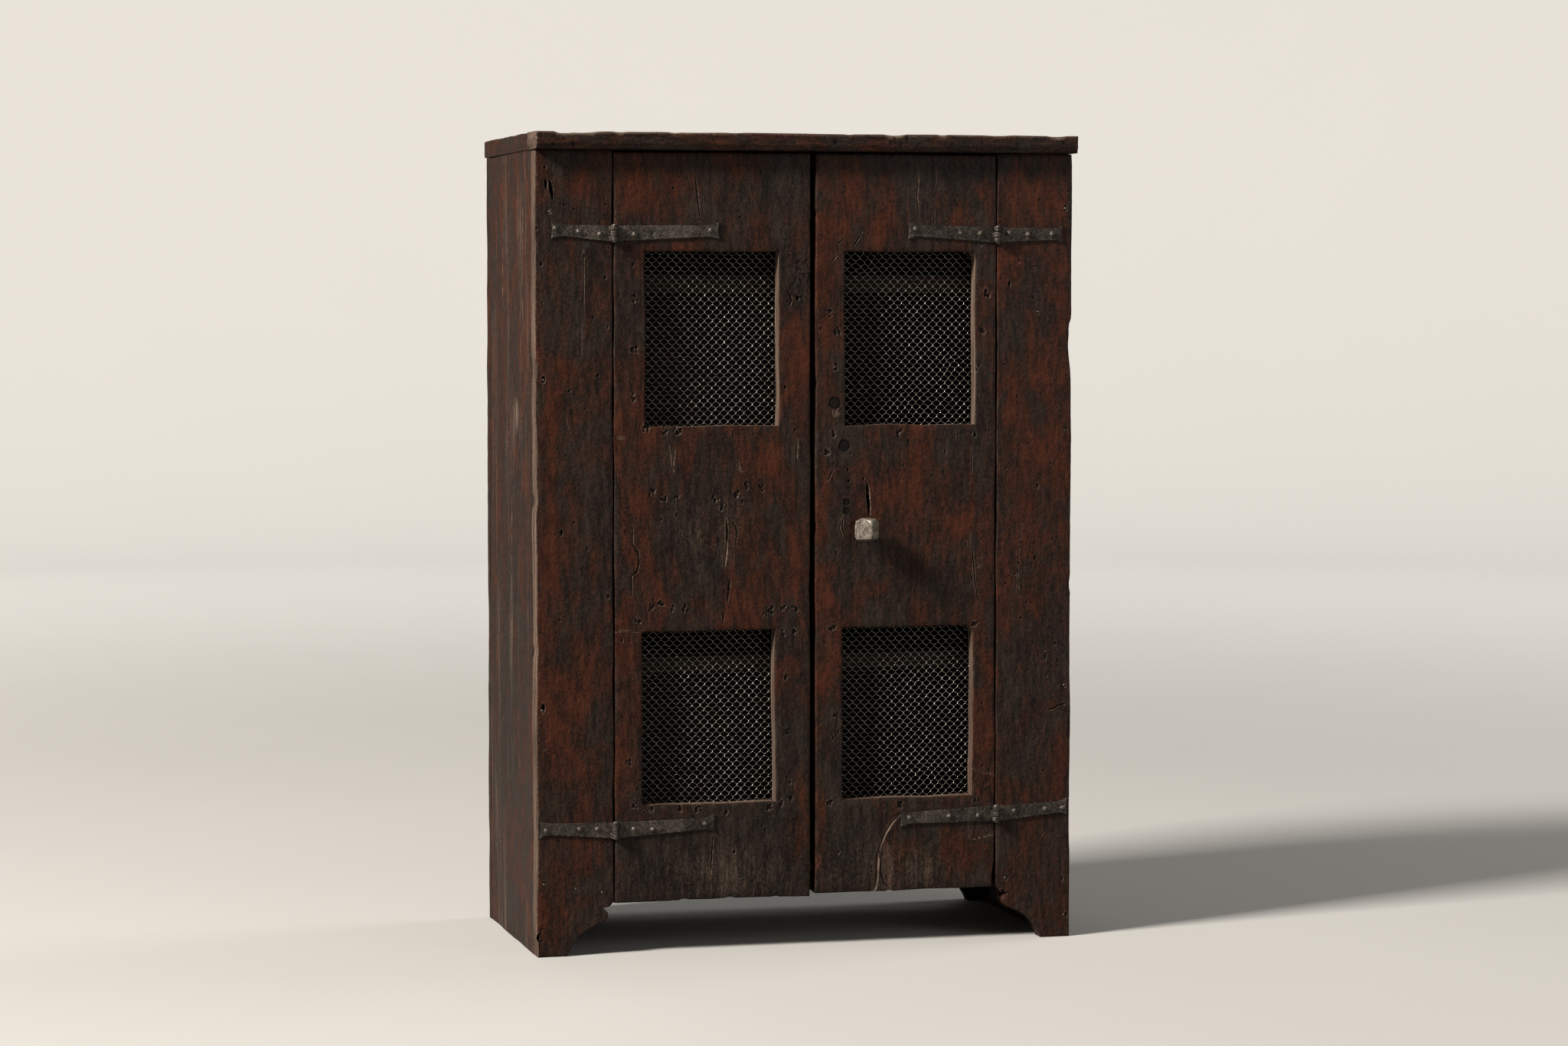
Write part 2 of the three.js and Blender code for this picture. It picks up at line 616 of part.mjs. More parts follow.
function latchPieces() {
  const barFront = DOOR_THICKNESS + LATCH_RUNNING_GAP;
  const barBack = barFront + LATCH_THICKNESS;
  const pinY = barBack + WASHER_THICKNESS + CROSS_PIN_RADIUS;
  const spindleFront = -KNOB_STANDOFF - KNOB_SOCKET_DEPTH + SEAT_GAP;
  const spindleBack = pinY + CROSS_PIN_RADIUS + SPINDLE_TAIL;
  const bore = (radius, front, length) =>
    solidOf(levelRound(KNOB_X, front, KNOB_HEIGHT, radius, length));
  const crossRound = (radius) =>
    new THREE.CylinderGeometry(radius, radius, CROSS_PIN_LENGTH, CURVE_STEPS)
      .rotateZ(Math.PI / 2)
      .translate(KNOB_X, pinY, KNOB_HEIGHT);
  const crossHole = solidOf(crossRound(CROSS_PIN_RADIUS + CROSS_PIN_CLEARANCE));
  const spindle = bore(SPINDLE_RADIUS, spindleFront, spindleBack - spindleFront).subtract(crossHole);
  const bar = solidOf(sawn(latchOutline(), barFront, LATCH_THICKNESS))
    .subtract(bore(SPINDLE_RADIUS + SEAT_GAP, barFront - OVERRUN, LATCH_THICKNESS + 2 * OVERRUN));
  const washer = bore(WASHER_RADIUS, barBack, WASHER_THICKNESS - CROSS_PIN_CLEARANCE)
    .subtract(bore(SPINDLE_RADIUS + SEAT_GAP, barBack - OVERRUN, WASHER_THICKNESS + 2 * OVERRUN));
  return [
    piece("knob", knob(), CAST_METAL),
    piece("knob_spindle", geometryOf(spindle), FORGED_IRON),
    piece("latch_bar", geometryOf(bar), BARE_WOOD),
    piece("latch_washer", geometryOf(washer), FORGED_IRON),
    piece("latch_cross_pin", crossRound(CROSS_PIN_RADIUS), FORGED_IRON),
  ];
}

// The latch bar hangs straight down from the spindle, round at its free end.
function latchOutline() {
  const half = LATCH_WIDTH / 2;
  const bottom = KNOB_HEIGHT - LATCH_LENGTH;
  const shape = new THREE.Shape();
  shape.moveTo(KNOB_X - half, KNOB_HEIGHT + LATCH_TAIL);
  shape.lineTo(KNOB_X - half, bottom + half);
  shape.absarc(KNOB_X, bottom + half, half, Math.PI, 2 * Math.PI, false);
  shape.lineTo(KNOB_X + half, KNOB_HEIGHT + LATCH_TAIL);
  shape.closePath();
  return shape;
}

// The windows of a door, the lower one shifted to the left.
function windowsOf(x, width, shift) {
  return [
    { name: "upper", x, sill: UPPER_SILL, width },
    { name: "lower", x: x - shift, sill: LOWER_SILL, width },
  ];
}

const DOORS = [
  {
    name: "left",
    x: LEFT_DOOR_X,
    width: LEFT_DOOR_WIDTH,
    bottom: LEFT_DOOR_BOTTOM,
    cornerRound: 0,
    windows: windowsOf(LEFT_WINDOW_X, LEFT_WINDOW_WIDTH, LEFT_LOWER_WINDOW_SHIFT),
  },
  {
    name: "right",
    x: RIGHT_DOOR_X,
    width: RIGHT_DOOR_WIDTH,
    bottom: RIGHT_DOOR_BOTTOM,
    cornerRound: WINDOW_CORNER_ROUND,
    spindleX: KNOB_X,
    windows: windowsOf(RIGHT_WINDOW_X, RIGHT_WINDOW_WIDTH, RIGHT_LOWER_WINDOW_SHIFT),
  },
];

const HINGES = [
  {
    name: "left_upper", pinX: LEFT_PIN_X, z: UPPER_HINGE_Z, doorSide: 1,
    stileLength: LEFT_UPPER_STILE_STRAP, stileRise: LEFT_UPPER_STILE_RISE,
    doorLength: LEFT_UPPER_DOOR_STRAP, doorRise: LEFT_UPPER_DOOR_RISE,
  },
  {
    name: "left_lower", pinX: LEFT_PIN_X, z: LEFT_DOOR_BOTTOM + LEFT_LOWER_HINGE_RISE, doorSide: 1,
    stileLength: LEFT_LOWER_STILE_STRAP, stileRise: LEFT_LOWER_STILE_RISE,
    doorLength: LEFT_LOWER_DOOR_STRAP, doorRise: LEFT_LOWER_DOOR_RISE,
  },
  {
    name: "right_upper", pinX: RIGHT_PIN_X, z: UPPER_HINGE_Z, doorSide: -1,
    stileLength: RIGHT_UPPER_STILE_STRAP, stileRise: RIGHT_UPPER_STILE_RISE,
    doorLength: RIGHT_UPPER_DOOR_STRAP, doorRise: RIGHT_UPPER_DOOR_RISE,
  },
  {
    name: "right_lower", pinX: RIGHT_PIN_X, z: RIGHT_DOOR_BOTTOM + RIGHT_LOWER_HINGE_RISE, doorSide: -1,
    stileLength: RIGHT_LOWER_STILE_STRAP, stileRise: RIGHT_LOWER_STILE_RISE,
    doorLength: RIGHT_LOWER_DOOR_STRAP, doorRise: -RIGHT_LOWER_DOOR_FALL,
  },
];

function doorGroup(door) {
  const group = new THREE.Group();
  group.add(piece(`door_${door.name}_board`, doorBoard(door), OLD_PAINT));
  group.add(piece(`door_${door.name}_batten_upper`, batten(door, UPPER_BATTEN_BOTTOM), BARE_WOOD));
  group.add(piece(`door_${door.name}_batten_lower`, batten(door, LOWER_BATTEN_BOTTOM), BARE_WOOD));
  for (const opening of door.windows) {
    group.add(piece(`netting_${door.name}_${opening.name}`, netting(opening), WIRE));
  }
  return group;
}

function caseGroup() {
  const group = new THREE.Group();
  group.add(...stiles(), ...sideBoards(), ...backBoards(), ...topBoard());
  group.add(bottomBoard(), ...shelves(), ...cleats());
  return group;
}

function pieSafe() {
  const safe = new THREE.Group();
  const body = caseGroup();
  safe.add(body);
  const doors = { left: doorGroup(DOORS[0]), right: doorGroup(DOORS[1]) };
  for (const hinge of HINGES) {
    const made = hingePieces(hinge);
    body.add(...made.fixed);
    doors[hinge.doorSide > 0 ? "left" : "right"].add(...made.moving);
  }
  doors.right.add(...latchPieces());
  safe.add(doors.left, doors.right);
  safe.position.y = -FOOTPRINT_MIDDLE;
  return safe;
}

export default pieSafe();
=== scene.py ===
"""An old pie safe: worn dark paint over red wood, forged strap hinges and wire netting in the doors."""

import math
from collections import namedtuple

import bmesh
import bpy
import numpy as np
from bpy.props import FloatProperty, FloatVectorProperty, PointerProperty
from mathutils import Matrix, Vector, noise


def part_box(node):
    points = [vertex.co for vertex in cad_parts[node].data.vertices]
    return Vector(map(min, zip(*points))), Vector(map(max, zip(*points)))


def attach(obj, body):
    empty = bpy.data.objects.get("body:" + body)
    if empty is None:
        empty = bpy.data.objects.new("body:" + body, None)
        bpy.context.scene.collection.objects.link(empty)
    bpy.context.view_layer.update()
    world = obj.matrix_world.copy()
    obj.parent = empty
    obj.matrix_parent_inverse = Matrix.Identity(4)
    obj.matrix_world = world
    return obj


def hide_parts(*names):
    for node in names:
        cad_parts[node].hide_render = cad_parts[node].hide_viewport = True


bl_info = {
    "name": "Pie safe",
    "version": (1, 0, 0),
    "blender": (4, 5, 0),
    "location": "View3D > Sidebar > Pie safe",
    "description": "Dresses the packed pie safe with worn boards, forged hinges and wire netting",
    "category": "Object",
}

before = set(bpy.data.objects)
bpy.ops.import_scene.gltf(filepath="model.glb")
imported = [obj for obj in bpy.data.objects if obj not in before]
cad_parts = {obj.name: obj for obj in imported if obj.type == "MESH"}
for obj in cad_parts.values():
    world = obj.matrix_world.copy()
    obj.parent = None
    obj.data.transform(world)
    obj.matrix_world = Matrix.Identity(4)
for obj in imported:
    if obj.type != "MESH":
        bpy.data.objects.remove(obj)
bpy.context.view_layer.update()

MM = 0.001


def linear(code):
    """An sRGB hex colour, such as #3A322E, as a linear colour."""
    parts = [int(code[i:i + 2], 16) / 255 for i in (1, 3, 5)]
    return tuple(p / 12.92 if p <= 0.04045 else ((p + 0.055) / 1.055) ** 2.4 for p in parts)


def colour(name, description, code):
    """A colour property whose default is an sRGB hex colour."""
    return FloatVectorProperty(
        name=name, description=description, default=linear(code), size=3, min=0, max=1, subtype="COLOR",
    )


def length(name, description, millimetres):
    """A length property whose default is given in millimetres."""
    return FloatProperty(name=name, description=description, default=millimetres * MM, min=0, unit="LENGTH")


def power(name, description, watts):
    """A lamp's power."""
    return FloatProperty(name=name, description=description, default=watts, min=0, subtype="POWER")


class PaintSettings(bpy.types.PropertyGroup):
    """Colours and wear of the old boards."""

    coat_dark: colour("Coat, dark", "Darkest tone of the worn top coat", "#1D1613")
    coat_light: colour("Coat, light", "Greyest tone of the worn top coat", "#433830")
    red_dark: colour("Red, dark", "Darkest tone of the red under the coat", "#2E1A13")
    red_light: colour("Red, light", "Brightest tone of the red under the coat", "#5C3120")
    bare_dark: colour("Bare wood, dark", "Darkest tone of sawn and rubbed wood", "#4A3A31")
    bare_light: colour("Bare wood, light", "Palest tone of sawn and rubbed wood", "#836D5D")
    # Blackens cracks, dents and nail holes, and is the painted shade on the back's inner faces and in its
    # joints
    soot_and_shade_colour: colour("Hollows", "Dirt in cracks and nail holes", "#120E0C")
    # The pine's tones are darkened as painted shade for the inside of the case and behind the doors
    pine_shaded_dark: colour("Pine, dark", "Darkest tone of the bare pine inside", "#19120E")
    pine_shaded_light: colour("Pine, light", "Palest tone of the bare pine inside", "#32251D")
    grain_width: length("Grain width", "Distance between two growth rings on the face", 2.6)
    arris: length("Worn arris", "Radius that wear has given the boards' edges", 2.2)
    wander: length("Uneven edge", "How far a hand-sawn edge strays from its line", 0.9)


class IronSettings(bpy.types.PropertyGroup):
    """Colours and sizes of the forged straps, nails and knob."""

    iron_dark: colour("Iron, dark", "Scale in the hollows of the forged iron", "#2E2721")
    iron_light: colour("Iron, light", "Rubbed high spots of the forged iron", "#A09386")
    rust: colour("Rust", "Brown rust in patches on the iron", "#4A3326")
    knob_pale: colour("Knob, pale", "Rubbed facets of the knob", "#B0A495")
    knob_dark: colour("Knob, dark", "Tarnish in the knob's hollows", "#4C4138")
    hammer_mark: length("Hammer mark", "Width of one hammer mark on the straps", 3.2)
    strap_nail: length("Strap nail", "Radius of the nail heads in the straps", 4.4)
    board_nail: length("Board nail", "Radius of the nail heads in the boards", 2.6)


class NettingSettings(bpy.types.PropertyGroup):
    """Sizes and colours of the hexagonal wire netting."""

    pitch: length("Cell width", "From one twist to the next in a row", 12.7)
    row_pitch: length("Row height", "From one row of twists to the next", 6.55)
    twist: length("Twist", "Length of one twist", 2.7)
    wire: length("Wire diameter", "Thickness of one wire", 0.95)
    buckle: length("Buckle", "How far the netting bellies out of flat", 1.6)
    wire_dark: colour("Wire, dark", "Dull oxide on the zinc", "#8C857B")
    wire_light: colour("Wire, light", "Rubbed zinc", "#D0CAC0")


class StageSettings(bpy.types.PropertyGroup):
    """Floor, backdrop and light."""

    paper: colour("Paper", "Plain pale floor and backdrop", "#DAD6CF")
    sky: colour("Sky", "Colour of the light from all round", "#E8E6E2")
    ambient: FloatProperty(name="Ambient", description="Strength of the light from all round", default=0.10)
    key_power: power("Key light", "Power of the main soft light", 2000)
    fill_power: power("Fill light", "Power of the second soft light", 25)
    side_power: power("Side light", "Power of the light for the right side", 130)
    back_power: power("Back light", "Power of the light for the back", 35)


# Materials


def add_node(tree, kind, inputs=None, **settings):
    """Adds a node, sets its settings, and fills or links its inputs."""
    node = tree.nodes.new(kind)
    for key, value in settings.items():
        setattr(node, key, value)
    for key, value in (inputs or {}).items():
        if isinstance(value, bpy.types.NodeSocket):
            tree.links.new(value, node.inputs[key])
        else:
            node.inputs[key].default_value = value
    return node


def mixed(tree, factor, first, second):
    """A blend of two colours or sockets."""
    first, second = (c if isinstance(c, bpy.types.NodeSocket) else (*c, 1.0) for c in (first, second))
    node = add_node(tree, "ShaderNodeMix", {0: factor, 6: first, 7: second}, data_type="RGBA")
    return node.outputs[2]


def maths(tree, operation, *values):
    """The result of one calculation on sockets or numbers."""
    return add_node(tree, "ShaderNodeMath", dict(enumerate(values)), operation=operation).outputs[0]


def weighted(tree, base, *pairs):
    """A base number plus each socket's departure from a half, times its weight."""
    total = base
    for value, weight in pairs:
        total = maths(tree, "ADD", maths(tree, "MULTIPLY_ADD", value, weight, -weight / 2), total)
    return total


def stepped(tree, value, low, high):
    """0 under low, 1 over high, and a smooth rise between."""
    node = add_node(
        tree, "ShaderNodeMapRange", {"Value": value, "From Min": low, "From Max": high},
        interpolation_type="SMOOTHSTEP",
    )
    return node.outputs[0]


def object_place(tree):
    return add_node(tree, "ShaderNodeTexCoord").outputs["Object"]


# The furthest that a board's pattern is shifted along each axis, in metres
PATTERN_SHIFT = (31.0, 17.0, 23.0)


def board_place(tree, along):
    """The place on a board with its grain along Z, shifted so that no two boards have one pattern."""
    chance = add_node(tree, "ShaderNodeObjectInfo").outputs["Random"]
    shift = add_node(tree, "ShaderNodeVectorMath", {0: PATTERN_SHIFT, "Scale": chance}, operation="SCALE")
    turn = {"X": (0, math.pi / 2, 0), "Y": (math.pi / 2, 0, 0), "Z": (0, 0, 0)}[along]
    inputs = {"Vector": object_place(tree), "Location": shift.outputs[0], "Rotation": turn}
    return add_node(tree, "ShaderNodeMapping", inputs).outputs[0]


def spotted(tree, place, size, stretch=1.0, detail=3.0, roughness=0.55, distortion=0.0):
    """Noise whose spots are about size metres wide, and stretch times as long along the grain."""
    scaled = add_node(tree, "ShaderNodeMapping", {"Vector": place, "Scale": (1, 1, 1 / stretch)}).outputs[0]
    inputs = {"Vector": scaled, "Scale": 1 / size, "Detail": detail, "Roughness": roughness}
    return add_node(tree, "ShaderNodeTexNoise", {**inputs, "Distortion": distortion}).outputs["Fac"]


def pinholes(tree, place, spacing, radius):
    """1 in small round worm and tack holes, in about every second cell of that spacing; 0 elsewhere."""
    node = add_node(tree, "ShaderNodeTexVoronoi", {"Vector": place, "Scale": 1 / spacing, "Randomness": 1})
    chance = maths(tree, "FRACT", maths(tree, "MULTIPLY", node.outputs["Color"], 7.3))
    inside = stepped(tree, node.outputs["Distance"], 1.3 * radius / spacing, 0.5 * radius / spacing)
    return maths(tree, "MULTIPLY", inside, maths(tree, "GREATER_THAN", chance, 0.55))


def finished(tree, base, roughness, height, strength, relief, **settings):
    """Fills in the shader of a material: colour, roughness, and a relief as deep as given."""
    bump = add_node(tree, "ShaderNodeBump", {"Height": height, "Strength": strength, "Distance": relief})
    inputs = {"Base Color": base, "Roughness": roughness, "Normal": bump.outputs[0], **settings}
    shader = add_node(tree, "ShaderNodeBsdfPrincipled", inputs)
    add_node(tree, "ShaderNodeOutputMaterial", {"Surface": shader.outputs[0]})


def shared_material(name, fill, *settings):
    """The material of that name, filled in by its function on first use."""
    material = bpy.data.materials.get(name)
    if material is None:
        material = bpy.data.materials.new(name)
        material.use_nodes = True
        material.node_tree.nodes.clear()
        fill(material.node_tree, *settings)
    return material


def grain_of(tree, place, width):
    """Growth rings as long wavy streaks, and the finer fibres in them."""
    rings = spotted(tree, place, width * 2.2, stretch=26, detail=2.0, distortion=0.35)
    fibres = spotted(tree, place, width * 0.5, stretch=36, detail=2.0)
    return weighted(tree, 0.5, (rings, 0.6), (fibres, 0.4))


def coat_and_red(tree, paint, grain, clouds, streaks, flecks, redder):
    """The top coat, and the red where it is worn thin or a patch on the board asks for it."""
    wear = weighted(tree, 0.5, (clouds, 1.7), (streaks, 0.5), (flecks, 0.8), (redder, 0.9))
    coat_tone = weighted(tree, 0.46, (grain, 0.12), (clouds, -0.5), (flecks, 0.6), (streaks, 0.55))
    red_tone = weighted(tree, 0.5, (grain, 0.12), (clouds, 0.7), (streaks, 0.6), (flecks, 0.6))
    coat = mixed(tree, stepped(tree, coat_tone, 0.3, 0.74), paint.coat_dark, paint.coat_light)
    red = mixed(tree, stepped(tree, red_tone, 0.25, 0.78), paint.red_dark, paint.red_light)
    return mixed(tree, stepped(tree, wear, 0.22, 0.98), coat, red)


def worn_paint(tree, paint, along):
    """Oxide red wash under a near-black oily top coat, brushed on softwood and rubbed through by hands.

    It gives soft patches and upright streaks of red in a dull grey-brown film, pale rubbed arrises, black
    cracks and a satin sheen that breaks up along the grain. Through the marks attribute it also paints shade
    on the back's inner faces and joints, and light and highlights on the sides, the left arris, the nosing
    and the burrs round dents.
    """
    place = board_place(tree, along)
    marks = add_node(tree, "ShaderNodeAttribute", attribute_name="marks").outputs["Color"]
    redder, bare, dirt_and_shade = add_node(tree, "ShaderNodeSeparateColor", {"Color": marks}).outputs
    grain = grain_of(tree, place, paint.grain_width)
    clouds = spotted(tree, place, 0.05, stretch=2.2, detail=8.0, roughness=0.66, distortion=0.8)
    streaks = spotted(tree, place, 0.006, stretch=5, detail=4.0, roughness=0.62)
    flecks = spotted(tree, place, 0.0028, stretch=1.6, detail=4.0, roughness=0.7)
    dents = spotted(tree, place, 0.007, stretch=1.4, detail=2.0)
    holes = pinholes(tree, place, 0.021, 0.0008)

    base = coat_and_red(tree, paint, grain, clouds, streaks, flecks, redder)
    wood = mixed(tree, stepped(tree, grain, 0.36, 0.64), paint.bare_dark, paint.bare_light)
    scratches = stepped(tree, spotted(tree, place, 0.0022, stretch=22, detail=1.0), 0.70, 0.80)
    base = mixed(tree, maths(tree, "MULTIPLY", scratches, 0.12), base, wood)
    # Bare wood where the marks ask; on the sides, the left arris, the nosing's top arris and burrs partly
    # painted light
    rubbed = stepped(tree, weighted(tree, 0.65, (flecks, 0.6), (streaks, 0.3), (bare, 1.3)), 0.37, 0.97)
    base = mixed(tree, rubbed, base, wood)
    # Dark with dirt in cuts and holes, and with painted shade on the back's inner faces and joints
    grime_and_shade = maths(tree, "MAXIMUM", dirt_and_shade, maths(tree, "MULTIPLY", holes, 0.8))
    base = mixed(tree, grime_and_shade, base, paint.soot_and_shade_colour)

    dry = maths(tree, "MULTIPLY", maths(tree, "MAXIMUM", rubbed, grime_and_shade), 0.75)
    rough = maths(tree, "MAXIMUM", weighted(tree, 0.42, (streaks, 0.3), (flecks, 0.2)), dry)
    fine = weighted(tree, 0.5, (grain, 0.06), (flecks, 0.28), (streaks, 0.12))
    height = weighted(tree, fine, (dents, 1.2), (holes, -1.6))
    finished(tree, base, rough, height, 1.0, 1.2 * MM, **{"Specular IOR Level": 0.16})


def bare_pine_in_painted_shade(tree, paint, along):
    """Bare old pine inside, sawn and handled, dry and without sheen, darkened as painted shade."""
    place = board_place(tree, along)
    grain = grain_of(tree, place, paint.grain_width)
    stain = spotted(tree, place, 0.09, stretch=3, detail=5.0)
    saw = spotted(tree, place, 0.0016, stretch=0.4, detail=2.0)
    tone = stepped(tree, weighted(tree, 0.5, (grain, 0.7), (stain, 0.6)), 0.3, 0.7)
    base = mixed(tree, tone, paint.pine_shaded_dark, paint.pine_shaded_light)
    rough = weighted(tree, 0.8, (grain, 0.2))
    height = weighted(tree, 0.5, (grain, 0.6), (saw, 0.4))
    finished(tree, base, rough, height, 0.6, 0.8 * MM, **{"Specular IOR Level": 0.25})


def forged_iron(tree, iron, rubbed):
    """Wrought iron, hammered hot and oiled: black-brown scale, pitted all over, with rubbed grey spots.

    rubbed is how much of the scale handling has taken off, from 0 to 1.
    """
    place = object_place(tree)
    dimples = spotted(tree, place, iron.hammer_mark, roughness=0.6)
    grit = spotted(tree, place, 0.0012, roughness=0.6)
    blotch = spotted(tree, place, 0.03, detail=4.0)
    tone = weighted(tree, 0.3 + 0.55 * rubbed, (dimples, 0.7), (grit, 0.3), (blotch, 0.5))
    base = mixed(tree, stepped(tree, tone, 0.1, 0.9), iron.iron_dark, iron.iron_light)
    rust = stepped(tree, spotted(tree, place, 0.012, detail=5.0, roughness=0.7), 0.56, 0.72)
    base = mixed(tree, maths(tree, "MULTIPLY", rust, 0.4), base, iron.rust)
    height = weighted(tree, 0.5, (dimples, 1.0), (grit, 0.3))
    rough = weighted(tree, 0.42 - 0.14 * rubbed, (grit, 0.3), (blotch, 0.2))
    finished(tree, base, rough, height, 1.0, 1.4 * MM, Metallic=0.6)


def zinc_wire(tree, netting):
    """Thin galvanised wire gone dull: grey, with darker oxide in spots."""
    spots = spotted(tree, object_place(tree), 0.004)
    base = mixed(tree, stepped(tree, spots, 0.36, 0.64), netting.wire_dark, netting.wire_light)
    finished(tree, base, weighted(tree, 0.27, (spots, 0.2)), spots, 0.3, 0.1 * MM, Metallic=0.9)


def filed_white_metal(tree, iron):
    """A cast knob filed to facets: pale and satin where rubbed, brown tarnish where hands don't reach."""
    place = object_place(tree)
    tarnish = spotted(tree, place, 0.011, detail=5.0, roughness=0.65)
    turned = add_node(tree, "ShaderNodeMapping", {"Vector": place, "Rotation": (0, math.radians(38), 0)})
    file_marks = spotted(tree, turned.outputs[0], 0.0011, stretch=9, detail=2.0)
    tone = stepped(tree, weighted(tree, 0.52, (tarnish, 0.9), (file_marks, 0.5)), 0.3, 0.7)
    base = mixed(tree, tone, iron.knob_dark, iron.knob_pale)
    height = weighted(tree, 0.5, (tarnish, 0.5), (file_marks, 0.6))
    finished(tree, base, weighted(tree, 0.4, (tarnish, 0.25)), height, 0.6, 0.4 * MM, Metallic=0.35)


# The paper: how much of its tone is left to the light, and its own glow, with where in metres from the
# middle of the floor the glow starts and is full
PAPER_DIM = 0.32
GLOW, GLOW_START, GLOW_FULL = 0.62, 2.0, 8.5


def studio_paper(tree, rgb):
    """Matt seamless studio paper, a touch uneven.

    It is pale to the camera alone. To the light it is as dark as the room of the photograph, so that it
    lays no veil on the paint and leaves the inside of the safe dark. Far off, where the lamps don't reach,
    it has a glow of its own for the camera alone.
    """
    mottle = spotted(tree, object_place(tree), 0.6)
    pale = mixed(tree, mottle, tuple(c * 0.97 for c in rgb), tuple(rgb))
    seen = add_node(tree, "ShaderNodeLightPath").outputs["Is Camera Ray"]
    base = mixed(tree, seen, tuple(c * PAPER_DIM for c in rgb), pale)
    away = add_node(tree, "ShaderNodeVectorMath", {0: object_place(tree)}, operation="LENGTH")
    far = maths(tree, "MULTIPLY", stepped(tree, away.outputs["Value"], GLOW_START, GLOW_FULL), GLOW)
    strength = maths(tree, "MULTIPLY", seen, far)
    glow = {"Emission Color": (*rgb, 1), "Emission Strength": strength, "Specular IOR Level": 0.2}
    finished(tree, base, weighted(tree, 0.85, (mottle, 0.1)), mottle, 0.1, MM, **glow)


# Hand-made irregularity


def between(places, low, step):
    """Which of the evenly spaced values each place lies after, and how far towards the next, eased."""
    t = (places - low) / step
    i = t.astype(int)
    f = t - i
    return i, f * f * (3 - 2 * f)


def wavy(places, seed, step, reach):
    """A smooth random offset along a line, changing about every step and never over reach."""
    count = int((places.max() - places.min()) / step) + 3
    values = np.random.RandomState(seed).uniform(-reach, reach, count)
    i, f = between(places, places.min(), step)
    return values[i] * (1 - f) + values[i + 1] * f


def rolling(u, v, seed, step_u, step_v, reach):
    """A smooth random height over a face."""
    counts = int((u.max() - u.min()) / step_u) + 3, int((v.max() - v.min()) / step_v) + 3
    values = np.random.RandomState(seed).uniform(-reach, reach, counts)
    i, fu = between(u, u.min(), step_u)
    j, fv = between(v, v.min(), step_v)
    near = values[i, j] * (1 - fu) + values[i + 1, j] * fu
    far = values[i, j + 1] * (1 - fu) + values[i + 1, j + 1] * fu
    return near * (1 - fv) + far * fv


# A mark cut into a board's outer face: how deep it is at each place, the box that it lies in, and how
# much bare wood it shows. Places and sizes are given in millimetres.
Mark = namedtuple("Mark", "carve box pale")


def boxed(us, vs, margin):
    """The box round places, in metres, with a margin on every side."""
    ends = min(us) - margin, max(us) + margin, min(vs) - margin, max(vs) + margin
    return tuple(end * MM for end in ends)


# Height of the burr that a knock raises round itself, in millimetres
LIP = 0.45


def lip(distance, middle, half):
    """1 on the crest of a burr and 0 beside it."""
    return np.clip(1 - np.abs(distance - middle) / half, 0, 1)


def dent(u0, v0, radius, depth, tall=1.0, pale=0.0):
    """A dent or nail hole, tall times as high as it is wide."""

    def carve(u, v):
        distance = np.hypot(u / MM - u0, (v / MM - v0) / tall) / radius
        bowl = 1.6 * depth * np.clip(1.2 - distance ** 2.5, 0, 1)
        return MM * (bowl - LIP * lip(distance, 1.35, 0.35))

    return Mark(carve, boxed([u0], [v0], radius * max(tall, 1) * 1.7), pale)


def to_line(u, v, points):
    """Distance from each place to a line of points, and how far along it the nearest is, 0 to 1."""
    best, along = np.full(u.shape, 1e9), np.zeros(u.shape)
    for k, ((u0, v0), (u1, v1)) in enumerate(zip(points, points[1:])):
        du, dv = u1 - u0, v1 - v0
        t = np.clip(((u - u0) * du + (v - v0) * dv) / (du * du + dv * dv), 0, 1)
        distance = np.hypot(u - u0 - t * du, v - v0 - t * dv)
        closer = distance < best
        best = np.where(closer, distance, best)
        along = np.where(closer, (k + t) / (len(points) - 1), along)
    return best, along


def gouge(points, width, depth, pale=0.0):
    """A split or scratch along a line of points, narrowing to both ends."""

    def carve(u, v):
        distance, along = to_line(u / MM, v / MM, points)
        half = width / 2 * (0.35 + 0.65 * np.sin(np.pi * np.clip(along, 0.04, 0.96)))
        trench = 1.4 * depth * np.clip(1.15 - distance / half, 0, 1) ** 0.7
        return MM * (trench - LIP * lip(distance, half + 1, 0.9))

    return Mark(carve, boxed([p[0] for p in points], [p[1] for p in points], width / 2 + 2), pale)


def plug(u0, v0, radius):
    """A round patch let into the board: an open seam round a slightly sunk face."""

    def carve(u, v):
        turn = np.arctan2(v / MM - v0, u / MM - u0)
        distance = np.hypot(u / MM - u0, v / MM - v0) + 0.5 * np.sin(5 * turn)
        seam = np.clip(1.3 - np.abs(distance - radius) / 0.9, 0, 1)
        return MM * (1.3 * seam + 0.75 * (distance < radius))

    return Mark(carve, boxed([u0], [v0], radius + 2), 0.0)


def torn(u0, v0, reach_u, reach_v, depth, seed):
    """A patch of pits and torn fibres."""

    def carve(u, v):
        fade = np.clip(1.3 - np.hypot((u / MM - u0) / reach_u, (v / MM - v0) / reach_v), 0, 1)
        return depth * MM * fade * np.clip(rolling(u, v, seed, 2.6 * MM, 3.6 * MM, 1.5), 0, 1)

    return Mark(carve, boxed([u0 - reach_u, u0 + reach_u], [v0 - reach_v, v0 + reach_v], 0), 0.15)


def nail_scars(places, seed, spread=6.0):
    """A few small dents round each place, left where old nails and tacks were drawn."""
    chance = np.random.RandomState(seed)
    scars = []
    for u0, v0 in places:
        for _ in range(chance.randint(5, 9)):
            u, v = chance.uniform(-spread, spread, 2)
            radius, depth, tall = chance.uniform((0.9, 0.7, 0.6), (2.8, 1.7, 1.7))
            scars.append(dent(u0 + u, v0 + v, radius, depth, tall, 0.22))
    return scars


def knocks(box, count, seed):
    """Small dents scattered over a box, from long use."""
    low_u, high_u, low_v, high_v = box
    low, high = (low_u, low_v, 0.8, 0.4, 0.8), (high_u, high_v, 1.9, 1.1, 2.6)
    rows = np.random.RandomState(seed).uniform(low, high, (count, 5))
    return [dent(*row, 0.15) for row in rows]


